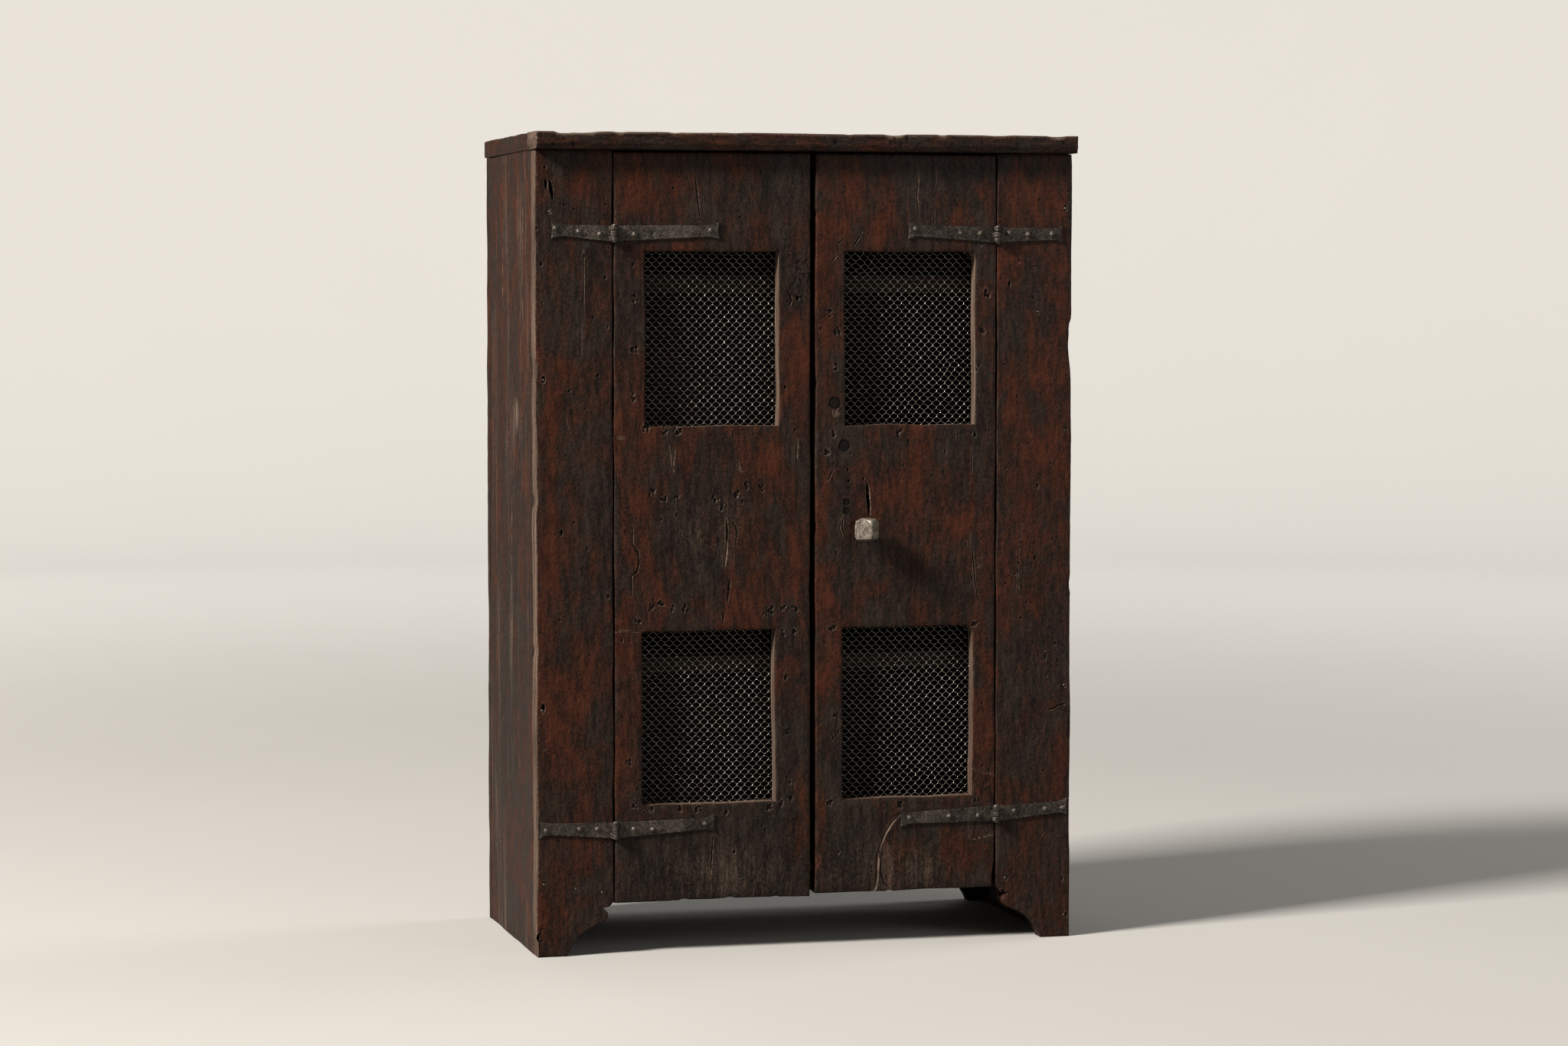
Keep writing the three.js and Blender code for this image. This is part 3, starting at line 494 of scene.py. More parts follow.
# Marks on the front, as x and z in millimetres
LEFT_STILE_MARKS = [
    gouge([(-411, 1189), (-410, 1176)], 4.5, 4),
    gouge([(-405, 1188), (-402, 1174), (-400, 1160)], 5, 6, 0.1), dent(-412, 1208, 2.5, 1.2),
    dent(-383, 1150, 1.8, 1), dent(-367, 1145, 1.8, 1.2), dent(-405, 1141, 2, 1.4, 1.6),
    dent(-318, 1152, 2, 1.2), dent(-418, 1061, 2.2, 1.2, 1.5), dent(-319, 1041, 2.2, 1.4, 1.4),
    dent(-338, 980, 1.8, 1), dent(-331, 891, 2, 1.3), dent(-375, 868, 2, 1, 1.3),
    dent(-415, 886, 2.6, 2.6, 1.9), gouge([(-352, 1082), (-353, 1007), (-354, 925)], 1.4, 0.5, 0.4),
    gouge([(-383, 836), (-378, 812), (-364, 774)], 1.4, 0.5, 0.3), dent(-388, 652, 2.2, 1.5, 2.2),
    dent(-417, 384, 2.8, 3, 2.2), gouge([(-426, 319), (-415, 320)], 1.6, 0.8, 0.5),
    dent(-417, 114, 2.4, 2.2), dent(-424, 30, 4, 5, 1.6), dent(-419, 22, 2.5, 3, 1.5, 0.4),
    torn(-418, 30, 9, 20, 1.5, 5), *knocks((-425, -310, 90, 1230), 34, 12),
]
RIGHT_STILE_MARKS = [
    dent(417, 1150, 2.4, 2.5, 1.8), dent(373, 988, 2.6, 3, 1.3), dent(326, 1032, 2, 1.5, 2.4),
    dent(392, 972, 1.6, 1), dent(419, 803, 2.2, 2), dent(317, 906, 1.8, 1.2), dent(369, 602, 1.8, 2, 2),
    dent(336, 576, 3, 1, 0.5, 0.3), dent(326, 574, 1.6, 1), dent(321, 562, 1.8, 1.2),
    dent(387, 446, 2, 1, 3, 0.2), dent(403, 466, 2, 0.9, 1.5), dent(418, 399, 2.6, 2.4, 1.2),
    gouge([(390, 361), (400, 362), (408, 368), (427, 371)], 1.8, 2), dent(323, 97, 3, 2.5),
    dent(419, 35, 2.8, 3, 1.2), dent(415, 13, 3, 0.9, 0.7, 0.5), dent(311, 75, 3, 3, 1.2),
    gouge([(348, 655), (340, 590), (343, 540)], 1.2, 0.4, 0.3),
    *knocks((310, 425, 90, 1230), 34, 24),
]
LEFT_DOOR_MARKS = [
    gouge([(-180, 1208), (-176, 1179), (-173, 1151), (-169, 1122)], 1.6, 1.6), dent(-36, 872, 2.2, 1.6),
    gouge([(-220, 783), (-218, 764), (-216, 744)], 3, 1.2, 0.6),
    gouge([(-210, 779), (-213, 760), (-214, 741)], 2.6, 1.2, 0.6),
    gouge([(-16, 790), (-18, 772), (-18, 757)], 3, 1.3, 0.5),
    gouge([(-111, 759), (-110, 748), (-104, 742)], 3, 1.2, 0.5), gouge([(-120, 806), (-119, 792)], 2, 1),
    torn(-107, 790, 10, 14, 0.5, 12), torn(-10, 1040, 20, 48, 1.4, 11), torn(-30, 1095, 16, 26, 0.7, 13),
    dent(-16, 1009, 3, 3), gouge([(-32, 1022), (-26, 1006), (-30, 996)], 3, 1.8),
    torn(-287, 672, 10, 46, 0.8, 14), dent(-20, 806, 2, 1.8), dent(-73, 192, 2.2, 1.6),
    dent(-107, 113, 1.6, 1),
    gouge([(-277, 660), (-277, 632), (-268, 618), (-267, 606), (-270, 590), (-279, 584),
        (-279, 553)], 2, 1.8), gouge([(-129, 668), (-128, 648), (-129, 632)], 3.4, 2, 0.3),
    gouge([(-129, 632), (-131, 616), (-132, 598)], 6, 1.8, 0.7),
    gouge([(-127, 669), (-117, 662), (-112, 649), (-115, 630)], 1.8, 1.4),
    gouge([(-134, 526), (-135, 512)], 2.4, 2), gouge([(-124, 578), (-126, 560), (-128, 541)], 3.2, 2, 0.3),
    gouge([(-305, 499), (-285, 499.5), (-263, 498)], 1, 0.5, 0.5),
    gouge([(-304, 796), (-288, 796)], 1, 0.4, 0.4),
    gouge([(-150, 188), (-153, 150), (-155, 114)], 1.4, 1.2), dent(-117, 153, 2, 1.4, 1.5),
    gouge([(-24, 268), (-22, 250)], 1.6, 0.6, 0.3), *knocks((-300, 0, 90, 1220), 50, 26),
    *nail_scars([(-274, 1009), (-275, 930), (-273, 858), (-254, 811), (-229, 806), (-207, 808),
        (-286, 1100)], 21),
    *nail_scars([(-246, 711), (-228, 704), (-211, 701), (-146, 701), (-136, 688), (-112, 708),
        (-98, 722)], 22, 5.0),
    *nail_scars([(-74, 716), (-246, 535), (-232, 541), (-218, 533), (-195, 533), (-69, 522),
        (-57, 527)], 23, 5.0),
    *nail_scars([(-40, 530), (-20, 528), (-270, 512), (-40, 492), (-20, 492), (-37, 424),
        (-33, 337)], 24, 4.0),
    *nail_scars([(-31, 262), (-28, 233), (-43, 226), (-284, 296), (-275, 229), (-251, 221),
        (-203, 222)], 25, 4.0),
    *nail_scars([(-174, 222), (-131, 216), (-60, 222)], 27, 4.0),
]
RIGHT_DOOR_MARKS = [
    gouge([(175, 1217), (177, 1195), (175, 1164), (178, 1146)], 2.6, 1.4, 0.9),
    torn(190, 1146, 14, 8, 0.8, 31), gouge([(208, 1213), (205, 1190), (203, 1176)], 1.8, 0.8, 0.5),
    gouge([(203, 1146), (203, 1123)], 1.8, 0.9, 0.6), torn(244, 1156, 14, 16, 0.8, 32),
    gouge([(58, 1102), (47, 1091)], 1.8, 1), gouge([(47, 1076), (36, 1063)], 2, 1),
    gouge([(87, 1112), (80, 1100), (74, 1090)], 2, 1.1), dent(45, 907, 2.4, 3, 0.9, 0.2),
    dent(45, 899, 2.4, 3, 0.9), gouge([(41, 909), (42, 896)], 1.4, 1, 0.7), plug(44, 847, 8.6),
    dent(46, 832, 4.5, 0.5, 1.2, 1.0), plug(59, 781, 8.4), dent(64, 743, 2, 3), dent(66, 726, 2.2, 3),
    gouge([(41, 744), (36, 735), (32, 725)], 2.4, 1), dent(90, 729, 1.4, 1, 2.5), plug(63, 693, 4.4),
    plug(63, 679, 4.8), gouge([(95.5, 721), (96.5, 705), (98, 690), (98.5, 672)], 4.4, 9),
    gouge([(98.6, 716), (99.4, 690), (101.4, 672)], 1.6, 2, 1.0),
    gouge([(58, 672), (55, 655), (60, 640)], 2, 0.6, 0.2),
    gouge([(54, 668), (51, 652), (57, 634)], 1.4, 0.4), gouge([(242, 804), (242, 787)], 1.8, 0.8, 0.5),
    dent(270, 797, 2.4, 1.6), dent(162, 787, 2, 1.2, 0.7),
    gouge([(264, 778), (265, 756), (266, 734)], 1.2, 0.5),
    gouge([(264, 640), (268, 600), (271, 565), (281, 512)], 1.5, 1.2),
    gouge([(275, 604), (285, 586)], 1.4, 0.5, 0.5), gouge([(286, 607), (276, 588)], 1.2, 0.4, 0.5),
    gouge([(269, 272), (286, 266), (302, 261)], 1.4, 0.6, 0.4),
    gouge([(272, 246), (271, 236)], 1.4, 0.6, 0.4),
    gouge([(262, 188), (264, 172), (265, 159)], 1.8, 0.7, 0.8),
    gouge([(268, 160), (286, 164), (303, 166)], 1.8, 0.8, 0.8),
    gouge([(150, 204), (135, 191), (124, 175), (117, 157), (113, 140)], 7, 3, 0.6),
    torn(285, 250, 18, 14, 0.6, 33), gouge([(113, 142), (111, 128), (112, 114)], 9, 3, 0.95),
    gouge([(112, 116), (110, 102), (107, 88), (104, 83)], 8, 3, 0.6),
    gouge([(116, 150), (119, 128), (118, 112), (124, 96), (134, 86)], 2, 2), dent(287, 1014, 2.2, 1.4),
    dent(282, 958, 2.6, 1.4, 1.2), *knocks((18, 298, 92, 1220), 50, 36),
    *nail_scars([(276, 1096), (35, 985), (46, 958), (279, 958), (273, 902), (270, 800), (150, 798),
        (287, 1014)], 34),
    *nail_scars([(40, 800), (30, 770), (272, 500), (40, 498), (36, 226), (150, 218), (275, 222),
        (47, 360)], 35, 4.0),
]
LEFT_SIDE_MARKS = [
    gouge([(10, 700), (14, 560), (12, 420)], 1.4, 0.6, 0.4),
    gouge([(-90, 1180), (-86, 1080), (-88, 960)], 1.4, 0.7, 0.3),
    gouge([(80, 1120), (84, 1000)], 1.4, 0.6, 0.3),
    *knocks((-155, 195, 20, 1225), 50, 32),
]
RIGHT_SIDE_MARKS = knocks((-155, 195, 20, 1225), 40, 38)

# Where more of the red shows, above zero, or less: x, z, reach in x and in z in millimetres, and how much
LEFT_STILE_RED = [
    (-360, 1180, 34, 22, 0.75), (-400, 1150, 18, 60, -0.5), (-345, 1080, 40, 60, -0.45),
    (-385, 1010, 12, 50, 0.3), (-390, 860, 14, 60, 0.35), (-345, 950, 26, 90, -0.5),
    (-405, 820, 14, 60, 0.5), (-350, 765, 30, 26, 0.45), (-408, 640, 22, 130, 0.75),
    (-325, 650, 22, 130, -0.45), (-350, 517, 22, 42, -0.7), (-341, 445, 26, 50, 0.55),
    (-400, 350, 26, 80, 0.65), (-330, 330, 24, 80, -0.5), (-370, 230, 50, 40, -0.35),
    (-384, 80, 34, 60, 0.5), (-345, 120, 20, 24, -0.2), (-415, 60, 14, 60, 0.4),
]
RIGHT_STILE_RED = [
    (391, 1169, 22, 30, 0.5), (350, 1120, 26, 60, -0.3), (418, 975, 14, 60, 0.55),
    (355, 1010, 26, 90, -0.3), (334, 865, 24, 60, 0.45), (385, 770, 34, 60, 0.5), (346, 690, 34, 60, 0.75),
    (412, 606, 14, 70, 0.5), (326, 540, 26, 50, 0.6), (395, 480, 24, 70, -0.3), (350, 400, 30, 70, -0.25),
    (409, 282, 18, 44, 0.8), (345, 300, 30, 50, -0.3), (360, 120, 40, 50, 0.4), (400, 60, 26, 40, 0.35),
]
LEFT_DOOR_RED = [
    (-248, 1165, 46, 26, 0.85), (-190, 1185, 30, 20, 0.5), (-230, 1130, 24, 14, 0.4),
    (-60, 1180, 60, 40, -0.45), (-38, 1138, 14, 20, 0.4), (-285, 1080, 20, 60, -0.3),
    (-282, 960, 22, 110, -0.5), (-16, 900, 16, 80, 0.8), (-38, 1060, 20, 60, -0.6),
    (-292, 815, 14, 40, 0.5), (-285, 760, 24, 30, 0.35), (-52, 755, 20, 22, 0.7), (-200, 770, 40, 30, -0.3),
    (-265, 690, 16, 40, 0.6), (-215, 640, 50, 60, -0.25), (-104, 615, 22, 44, 0.5),
    (-20, 605, 16, 50, 0.65), (-78, 560, 20, 30, 0.5), (-160, 600, 40, 60, -0.35),
    (-289, 470, 12, 60, 0.95), (-292, 330, 12, 60, 0.35), (-281, 250, 22, 60, -0.3),
    (-20, 380, 26, 120, -0.35), (-210, 216, 60, 12, 0.3), (-150, 130, 150, 80, -1.0),
    (-60, 260, 30, 160, -0.5), (-150, 700, 120, 60, -0.3),
]
RIGHT_DOOR_RED = [
    (71, 1170, 50, 40, 0.6), (30, 1060, 16, 110, 0.95), (135, 1190, 22, 20, 0.45), (118, 1108, 26, 22, 0.5),
    (100, 1150, 16, 20, -0.4), (180, 1195, 60, 30, -0.6), (250, 1200, 60, 24, -0.5),
    (244, 1150, 12, 14, 0.5), (30, 900, 18, 80, 0.6), (288, 1000, 16, 90, 0.2), (278, 860, 16, 60, -0.4),
    (180, 745, 30, 50, 0.6), (90, 765, 24, 30, 0.5), (250, 720, 40, 60, -0.35), (22, 650, 14, 110, 0.6),
    (60, 600, 30, 60, -0.4), (86, 548, 14, 40, 0.6), (245, 630, 34, 60, 0.5), (180, 560, 50, 60, -0.35),
    (20, 420, 12, 100, 0.55), (40, 300, 18, 80, -0.3), (290, 400, 14, 120, 0.2), (262, 132, 40, 26, 0.85),
    (110, 180, 80, 30, -0.5), (60, 110, 50, 60, -0.7), (60, 300, 40, 160, -0.4), (260, 60, 90, 60, -0.4),
]
SIDE_RED = [
    (-170, 1120, 40, 160, 0.5), (-120, 900, 30, 160, 0.35), (60, 1000, 60, 200, 0.3),
    (-60, 600, 90, 200, -0.35), (60, 300, 90, 200, -0.4), (-140, 300, 40, 160, 0.2),
]

# Where the sides are paler, partly rubbed to bare wood and partly painted light: y, z, reach in y and in z
# in millimetres, how much, how streaky
SIDE_RUBS_AND_LIGHT = [
    (-35, 826, 22, 34, 1.25, 0.8), (-31, 812, 60, 70, 0.6, 0.8), (-60, 1120, 70, 120, 0.55, 0.8),
    (-120, 980, 20, 200, 0.5, 0.8), (40, 720, 60, 90, 0.35, 0.8), (-100, 500, 30, 160, 0.35, 0.8),
    (110, 1000, 30, 180, 0.35, 0.8),
]
# The same for the doors, in x and z
LEFT_DOOR_RUBS = [(-150, 125, 200, 80, 0.5, 0.2), (-150, 655, 150, 110, 0.42, 0.35)]
RIGHT_DOOR_RUBS = [(130, 120, 200, 80, 0.475, 0.2)]

# Bites out of a board's edges: the axis across the edge, 0 for its low end, the place along the edge, half
# the bite's length, and its depth
LEFT_STILE_BITES = [
    ("u", 0, 700, 14, 2.5), ("u", 0, 470, 10, 2), ("u", 0, 1090, 8, 1.6), ("u", 0, 900, 20, 1.5),
    ("u", 0, 8, 22, 5),
]
RIGHT_STILE_BITES = [
    ("u", 1, 938, 34, 5), ("u", 1, 966, 12, 3), ("u", 1, 905, 10, 1.5), ("u", 1, 560, 12, 1.6),
]
LEFT_DOOR_BITES = [
    ("v", 0, -196, 6, 2), ("v", 0, -124, 7, 2.2), ("v", 0, -50, 5, 1.2), ("u", 1, 1120, 8, 1.6),
    ("u", 1, 560, 10, 1.6),
]
RIGHT_DOOR_BITES = [
    ("v", 0, 132, 6, 2), ("u", 1, 96, 26, 3.5), ("u", 0, 880, 7, 2), ("u", 0, 655, 6, 2),
    ("u", 0, 1140, 8, 1.6),
]


# Boards


def ruled(low, high, step, extra=()):
    """Grid lines from low to high about a step apart, with the extra ones kept exactly."""
    kept = sorted({round(x, 6) for x in (low, high, *extra) if low - 1e-9 <= x <= high + 1e-9})
    result = []
    for a, b in zip(kept, kept[1:]):
        count = max(int(round((b - a) / step)), 1)
        result += [a + (b - a) * k / count for k in range(count)]
    return np.array(result + [kept[-1]])


def kept_cells(us, vs, windows):
    """Which cells of the grid are wood, and not a window."""
    mid_u, mid_v = (us[1:] + us[:-1]) / 2, (vs[1:] + vs[:-1]) / 2
    keep = np.ones((len(mid_u), len(mid_v)), bool)
    for u0, u1, v0, v1 in windows:
        keep &= ~(((mid_u > u0) & (mid_u < u1))[:, None] & ((mid_v > v0) & (mid_v < v1))[None, :])
    return keep


def slab(us, vs, ws, windows):
    """A closed slab of quads over the grid lines, with rectangular windows through it."""
    nv, layers = len(vs), len(ws)
    keep = kept_cells(us, vs, windows)
    i, j = np.nonzero(keep)
    padded = np.pad(keep, 1)
    around = [((i + a) * nv + j + b) * layers for a, b in ((0, 0), (1, 0), (1, 1), (0, 1))]
    faces = [np.stack(around, 1), np.stack(around[::-1], 1) + layers - 1]
    for side, (di, dj) in enumerate(((0, -1), (1, 0), (0, 1), (-1, 0))):
        open_edge = ~padded[i + 1 + di, j + 1 + dj]
        start, end = around[side][open_edge], around[(side + 1) % 4][open_edge]
        for k in range(layers - 1):
            faces.append(np.stack([end + k, start + k, start + k + 1, end + k + 1], 1))
    used, faces = np.unique(np.concatenate(faces), return_inverse=True)
    points = np.stack([us[used // (layers * nv)], vs[used // layers % nv], ws[used % layers]], 1)
    return points, faces.reshape(-1, 4)


def marked_faces(points, faces, marks):
    """Which faces of the outer side a mark's box touches."""
    corners = points[faces]
    low, high = corners.min(1), corners.max(1)
    chosen = np.zeros(len(faces), bool)
    for mark in marks:
        u0, u1, v0, v1 = mark.box
        chosen |= (high[:, 0] > u0) & (low[:, 0] < u1) & (high[:, 1] > v0) & (low[:, 1] < v1)
    return np.nonzero(chosen & (high[:, 2] < 1e-6))[0]


def refined(points, faces, marks):
    """The mesh with the outer faces under the marks split fine enough for the marks to be cut there."""
    mesh = bpy.data.meshes.new("board")
    mesh.from_pydata(points.tolist(), [], faces.tolist())
    chosen = marked_faces(points, faces, marks)
    if len(chosen):
        bm = bmesh.new()
        bm.from_mesh(mesh)
        bm.faces.ensure_lookup_table()
        edges = {edge for k in chosen for edge in bm.faces[k].edges}
        bmesh.ops.subdivide_edges(bm, edges=list(edges), cuts=4, use_grid_fill=True)
        bm.to_mesh(mesh)
        bm.free()
    return mesh


def beyond(places, low, high):
    """How far each place lies outside low to high."""
    return np.maximum(np.maximum(low - places, places - high), 0)


def edge_distance(u, v, spec):
    """Distance from each place to the nearest edge of the board or of one of its windows."""
    d = np.minimum.reduce([u - spec["u"][0], spec["u"][1] - u, v - spec["v"][0], spec["v"][1] - v])
    for u0, u1, v0, v1 in spec["windows"]:
        d = np.minimum(d, np.hypot(beyond(u, u0, u1), beyond(v, v0, v1)))
    return np.maximum(d, 0)


# How far into a board its edge's waves, nibbles and bites are felt, and how long waves and nibbles are
WAVE_FADE, NIBBLE_FADE, BITE_FADE = 12 * MM, 3 * MM, 7 * MM
WAVE_STEP, NIBBLE_STEP = 60 * MM, 7 * MM


def strayed(across, along, edge, seed, reach):
    """How far the places near one edge move across it, so that it isn't quite straight."""
    away = np.abs(across - edge)
    slow = wavy(along, seed, WAVE_STEP, reach) * np.exp(-away / WAVE_FADE)
    return slow + wavy(along, seed + 40, NIBBLE_STEP, reach * 0.25) * np.exp(-away / NIBBLE_FADE)


def hand_sawn(u, v, spec):
    """Moves the places near the board's and the windows' edges off their straight lines."""
    reach, seed = spec["wander"], spec["seed"]
    shift_u = sum(strayed(u, v, edge, seed + k, reach) for k, edge in enumerate(spec["u"]))
    shift_v = sum(strayed(v, u, edge, seed + 10 + k, reach) for k, edge in enumerate(spec["v"]))
    for n, (u0, u1, v0, v1) in enumerate(spec["windows"]):
        beside, above = np.exp(-beyond(v, v0, v1) / WAVE_FADE), np.exp(-beyond(u, u0, u1) / WAVE_FADE)
        for k, edge in enumerate((u0, u1)):
            shift_u += strayed(u, v, edge, seed + 20 + 4 * n + k, reach * 1.3) * beside
        for k, edge in enumerate((v0, v1)):
            shift_v += strayed(v, u, edge, seed + 22 + 4 * n + k, reach * 1.3) * above
    return u + shift_u, v + shift_v


def round_cornered(u, v, spec):
    """Brings the upper right corners of the windows onto the arc that the saw left."""
    radius, fade_length = spec["corner"], 5 * MM
    if not radius:
        return u, v
    for u0, u1, v0, v1 in spec["windows"]:
        inside_u, inside_v = np.maximum(u1 - u, 0), np.maximum(v1 - v, 0)
        angle = math.pi / 4 * (1 + np.clip((inside_u - inside_v) / radius, -1, 1))
        move_u = u1 - radius + radius * np.cos(angle) - np.clip(u, u1 - radius, u1)
        move_v = v1 - radius + radius * np.sin(angle) - np.clip(v, v1 - radius, v1)
        near = np.maximum(inside_u, inside_v) <= radius + 1e-6
        past = np.hypot(beyond(u, 0, u1) * (u > u1), beyond(v, 0, v1) * (v > v1))
        fade = np.exp(-past / fade_length) * near
        u, v = u + move_u * fade, v + move_v * fade
    return u, v


def bitten(u, v, spec):
    """Takes the bites out of the board's edges."""
    for axis, end, place, half, deep in spec["bites"]:
        along, across = (v, u) if axis == "u" else (u, v)
        bite = deep * MM * np.clip(1 - ((along / MM - place) / half) ** 2, 0, 1)
        bite *= np.exp(-np.abs(across - spec[axis][end]) / BITE_FADE) * (1 if end == 0 else -1)
        u, v = (u + bite, v) if axis == "u" else (u, v + bite)
    return u, v


# The bracket foot's outline: its reach from the case's side at each height, in millimetres
FOOT_HEIGHTS = (0, 10, 20, 30, 38, 44, 48, 50, 53, 58, 63, 68, 71, 72.5, 75, 80, 82)
FOOT_REACHES = (47, 51.5, 58, 66, 76, 88, 97, 102, 107, 110.5, 111.5, 109, 105, 103, 114, 118.5, 120.5)
FOOT_ROWS = [(a + b) / 2 * MM for a, b in zip(FOOT_HEIGHTS, FOOT_HEIGHTS[1:])]
FOOT_ROWS += [z * MM for z in FOOT_HEIGHTS]


def footed(u, v, spec):
    """Draws the bracket foot's outline by narrowing the board below the foot's top."""
    if not spec["foot"]:
        return u, v
    outer = spec["u"][0] if spec["foot"] > 0 else spec["u"][1]
    width = spec["u"][1] - spec["u"][0]
    reach = np.interp(v / MM, FOOT_HEIGHTS, FOOT_REACHES) * MM
    kept = np.where(v < FOOT_HEIGHTS[-1] * MM, np.minimum(reach, width), width)
    return outer + (u - outer) * kept / width, v


# How much deeper than the worn arris a board's edge starts to be flat
EDGE_SLACK = 1.5 * MM
# How far apart the swellings and the ripples of a board's face are, in u and in v
SWELL_STEPS, RIPPLE_STEPS = (60 * MM, 180 * MM), (7 * MM, 50 * MM)
# What a board is like unless it says otherwise. step is its grid's, and swell its unevenness, in
# millimetres. The wears are how bare its edges, sides, face and left arris are, and on the face and the
# left arris they are partly painted light. inside is how much painted shade darkens its inner face, and
# joints is how far from its middle its edge faces are painted black as shade.
PLAIN_BOARD = {
    "seed": 1, "step": (6, 9), "rows": (), "windows": [], "corner": 0, "foot": 0, "marks": [], "red": [],
    "rubs": [], "bites": [], "swell": 0.5, "edge_wear": 0.25, "side_wear": 0.2, "face_wear": 0.0,
    "arris_wear": 0.0, "inside": 0.0, "joints": 0.0,
}
# Where the grid lines round a sawn corner lie, as shares of its radius
CORNER_LINES = (0.2, 0.4, 0.6, 0.8, 1)


def grid_lines(spec, r):
    """The grid lines of a board in u and v: even ones, and closer ones beside each edge."""
    rim = (-r, -0.3 * r, 0, 0.3 * r, r)
    result = []
    for axis, first in (("u", 0), ("v", 2)):
        edges = [*spec[axis], *(edge for window in spec["windows"] for edge in window[first:first + 2])]
        extra = [edge + x for edge in edges for x in rim]
        ends = [window[first + 1] for window in spec["windows"]]
        extra += [end - spec["corner"] * share for end in ends for share in CORNER_LINES]
        extra += spec["rows"] if axis == "v" else ()
        result.append(ruled(*spec[axis], spec["step"][first // 2] * MM, extra))
    return result


def carved(u, v, on_outer, spec):
    """How deep the marks cut at each place, and how much bare wood they show."""
    cut, pale = np.zeros_like(u), np.zeros_like(u)
    for mark in spec["marks"]:
        u0, u1, v0, v1 = mark.box
        here = np.nonzero(on_outer & (u > u0) & (u < u1) & (v > v0) & (v < v1))[0]
        if len(here):
            depth = mark.carve(u[here], v[here])
            stronger = np.abs(depth) > np.abs(cut[here])
            pale[here] = np.where(stronger, mark.pale, pale[here])
            cut[here] = np.where(stronger, depth, cut[here])
    return cut, pale


def mark_colours(mesh, red, bare, dirt_and_shade):
    """Keeps, for the paint material, how red each place is, how pale with bare wood and painted light, and
    how dark with dirt and painted shade.
    """
    values = np.clip(np.stack([red, bare, dirt_and_shade, np.ones_like(red)], 1), 0, 1).astype(np.float32)
    mesh.color_attributes.new("marks", "FLOAT_COLOR", "POINT").data.foreach_set("color", values.ravel())


def blot(u, v, u0, v0, reach_u, reach_v):
    """1 at a place given in millimetres, fading out over its reach in u and in v."""
    return np.exp(-((u / MM - u0) / reach_u) ** 2 - ((v / MM - v0) / reach_v) ** 2)


def wear_of(u, v, d, on_outer, on_inner, cut, pale, spec):
    """How red each place of a board is, how pale with bare wood and painted light, and how dark with dirt
    and painted shade.
    """
    side = ~(on_outer | on_inner)
    red = np.full(len(u), 0.5)
    for *place, amount in spec["red"]:
        red += 0.5 * amount * blot(u, v, *place)
    bare = np.where(side, spec["side_wear"], np.clip(1 - d / (3.5 * MM), 0, 1) * spec["edge_wear"])
    # The left arris is paled: partly bare wood, partly a painted highlight where the light catches it
    bare = np.maximum(bare, spec["arris_wear"] * np.clip(1.3 - (u - spec["u"][0]) / (4 * MM), 0, 1))
    streaky = rolling(u, v, spec["seed"] + 9, 5 * MM, 160 * MM, 0.55)
    streaky += rolling(u, v, spec["seed"] + 6, 30 * MM, 260 * MM, 0.5)
    # Face wear and rubs pale the face: partly rubbed bare wood, on the sides partly painted light
    bare = np.maximum(bare, spec["face_wear"] * np.clip(1 + 1.5 * streaky, 0, 2.2))
    for *place, amount, streaks in spec["rubs"]:
        rub_and_light = amount * blot(u, v, *place)
        bare = np.maximum(bare, rub_and_light * np.clip(0.85 + streaks * streaky, 0, 1))
    for u0, u1, v0, v1 in spec["windows"]:
        bare[side & (beyond(u, u0, u1) < 1e-5) & (beyond(v, v0, v1) < 1e-5)] = 0.72
    deep = np.clip(cut / (0.9 * MM), 0, 1)
    # Cuts darken, and the inner face darkens as painted shade as far as inside asks
    dirt_and_shade = np.maximum(deep * (1 - np.minimum(pale * 1.6, 1)), on_inner * spec["inside"])
    # Edge faces in the back's joints are painted black as shade, with no bare wood
    in_shaded_joint = side & (np.abs(u) < spec["joints"])
    bare[in_shaded_joint], dirt_and_shade[in_shaded_joint] = 0, 1
    # Burrs round knocks are paled: partly chipped paint, partly a painted highlight
    pale_burr_and_highlight = np.clip(-cut / (LIP * MM), 0, 1)
    return red, np.maximum(bare, np.maximum(deep * pale * 1.2, 0.8 * pale_burr_and_highlight)), dirt_and_shade


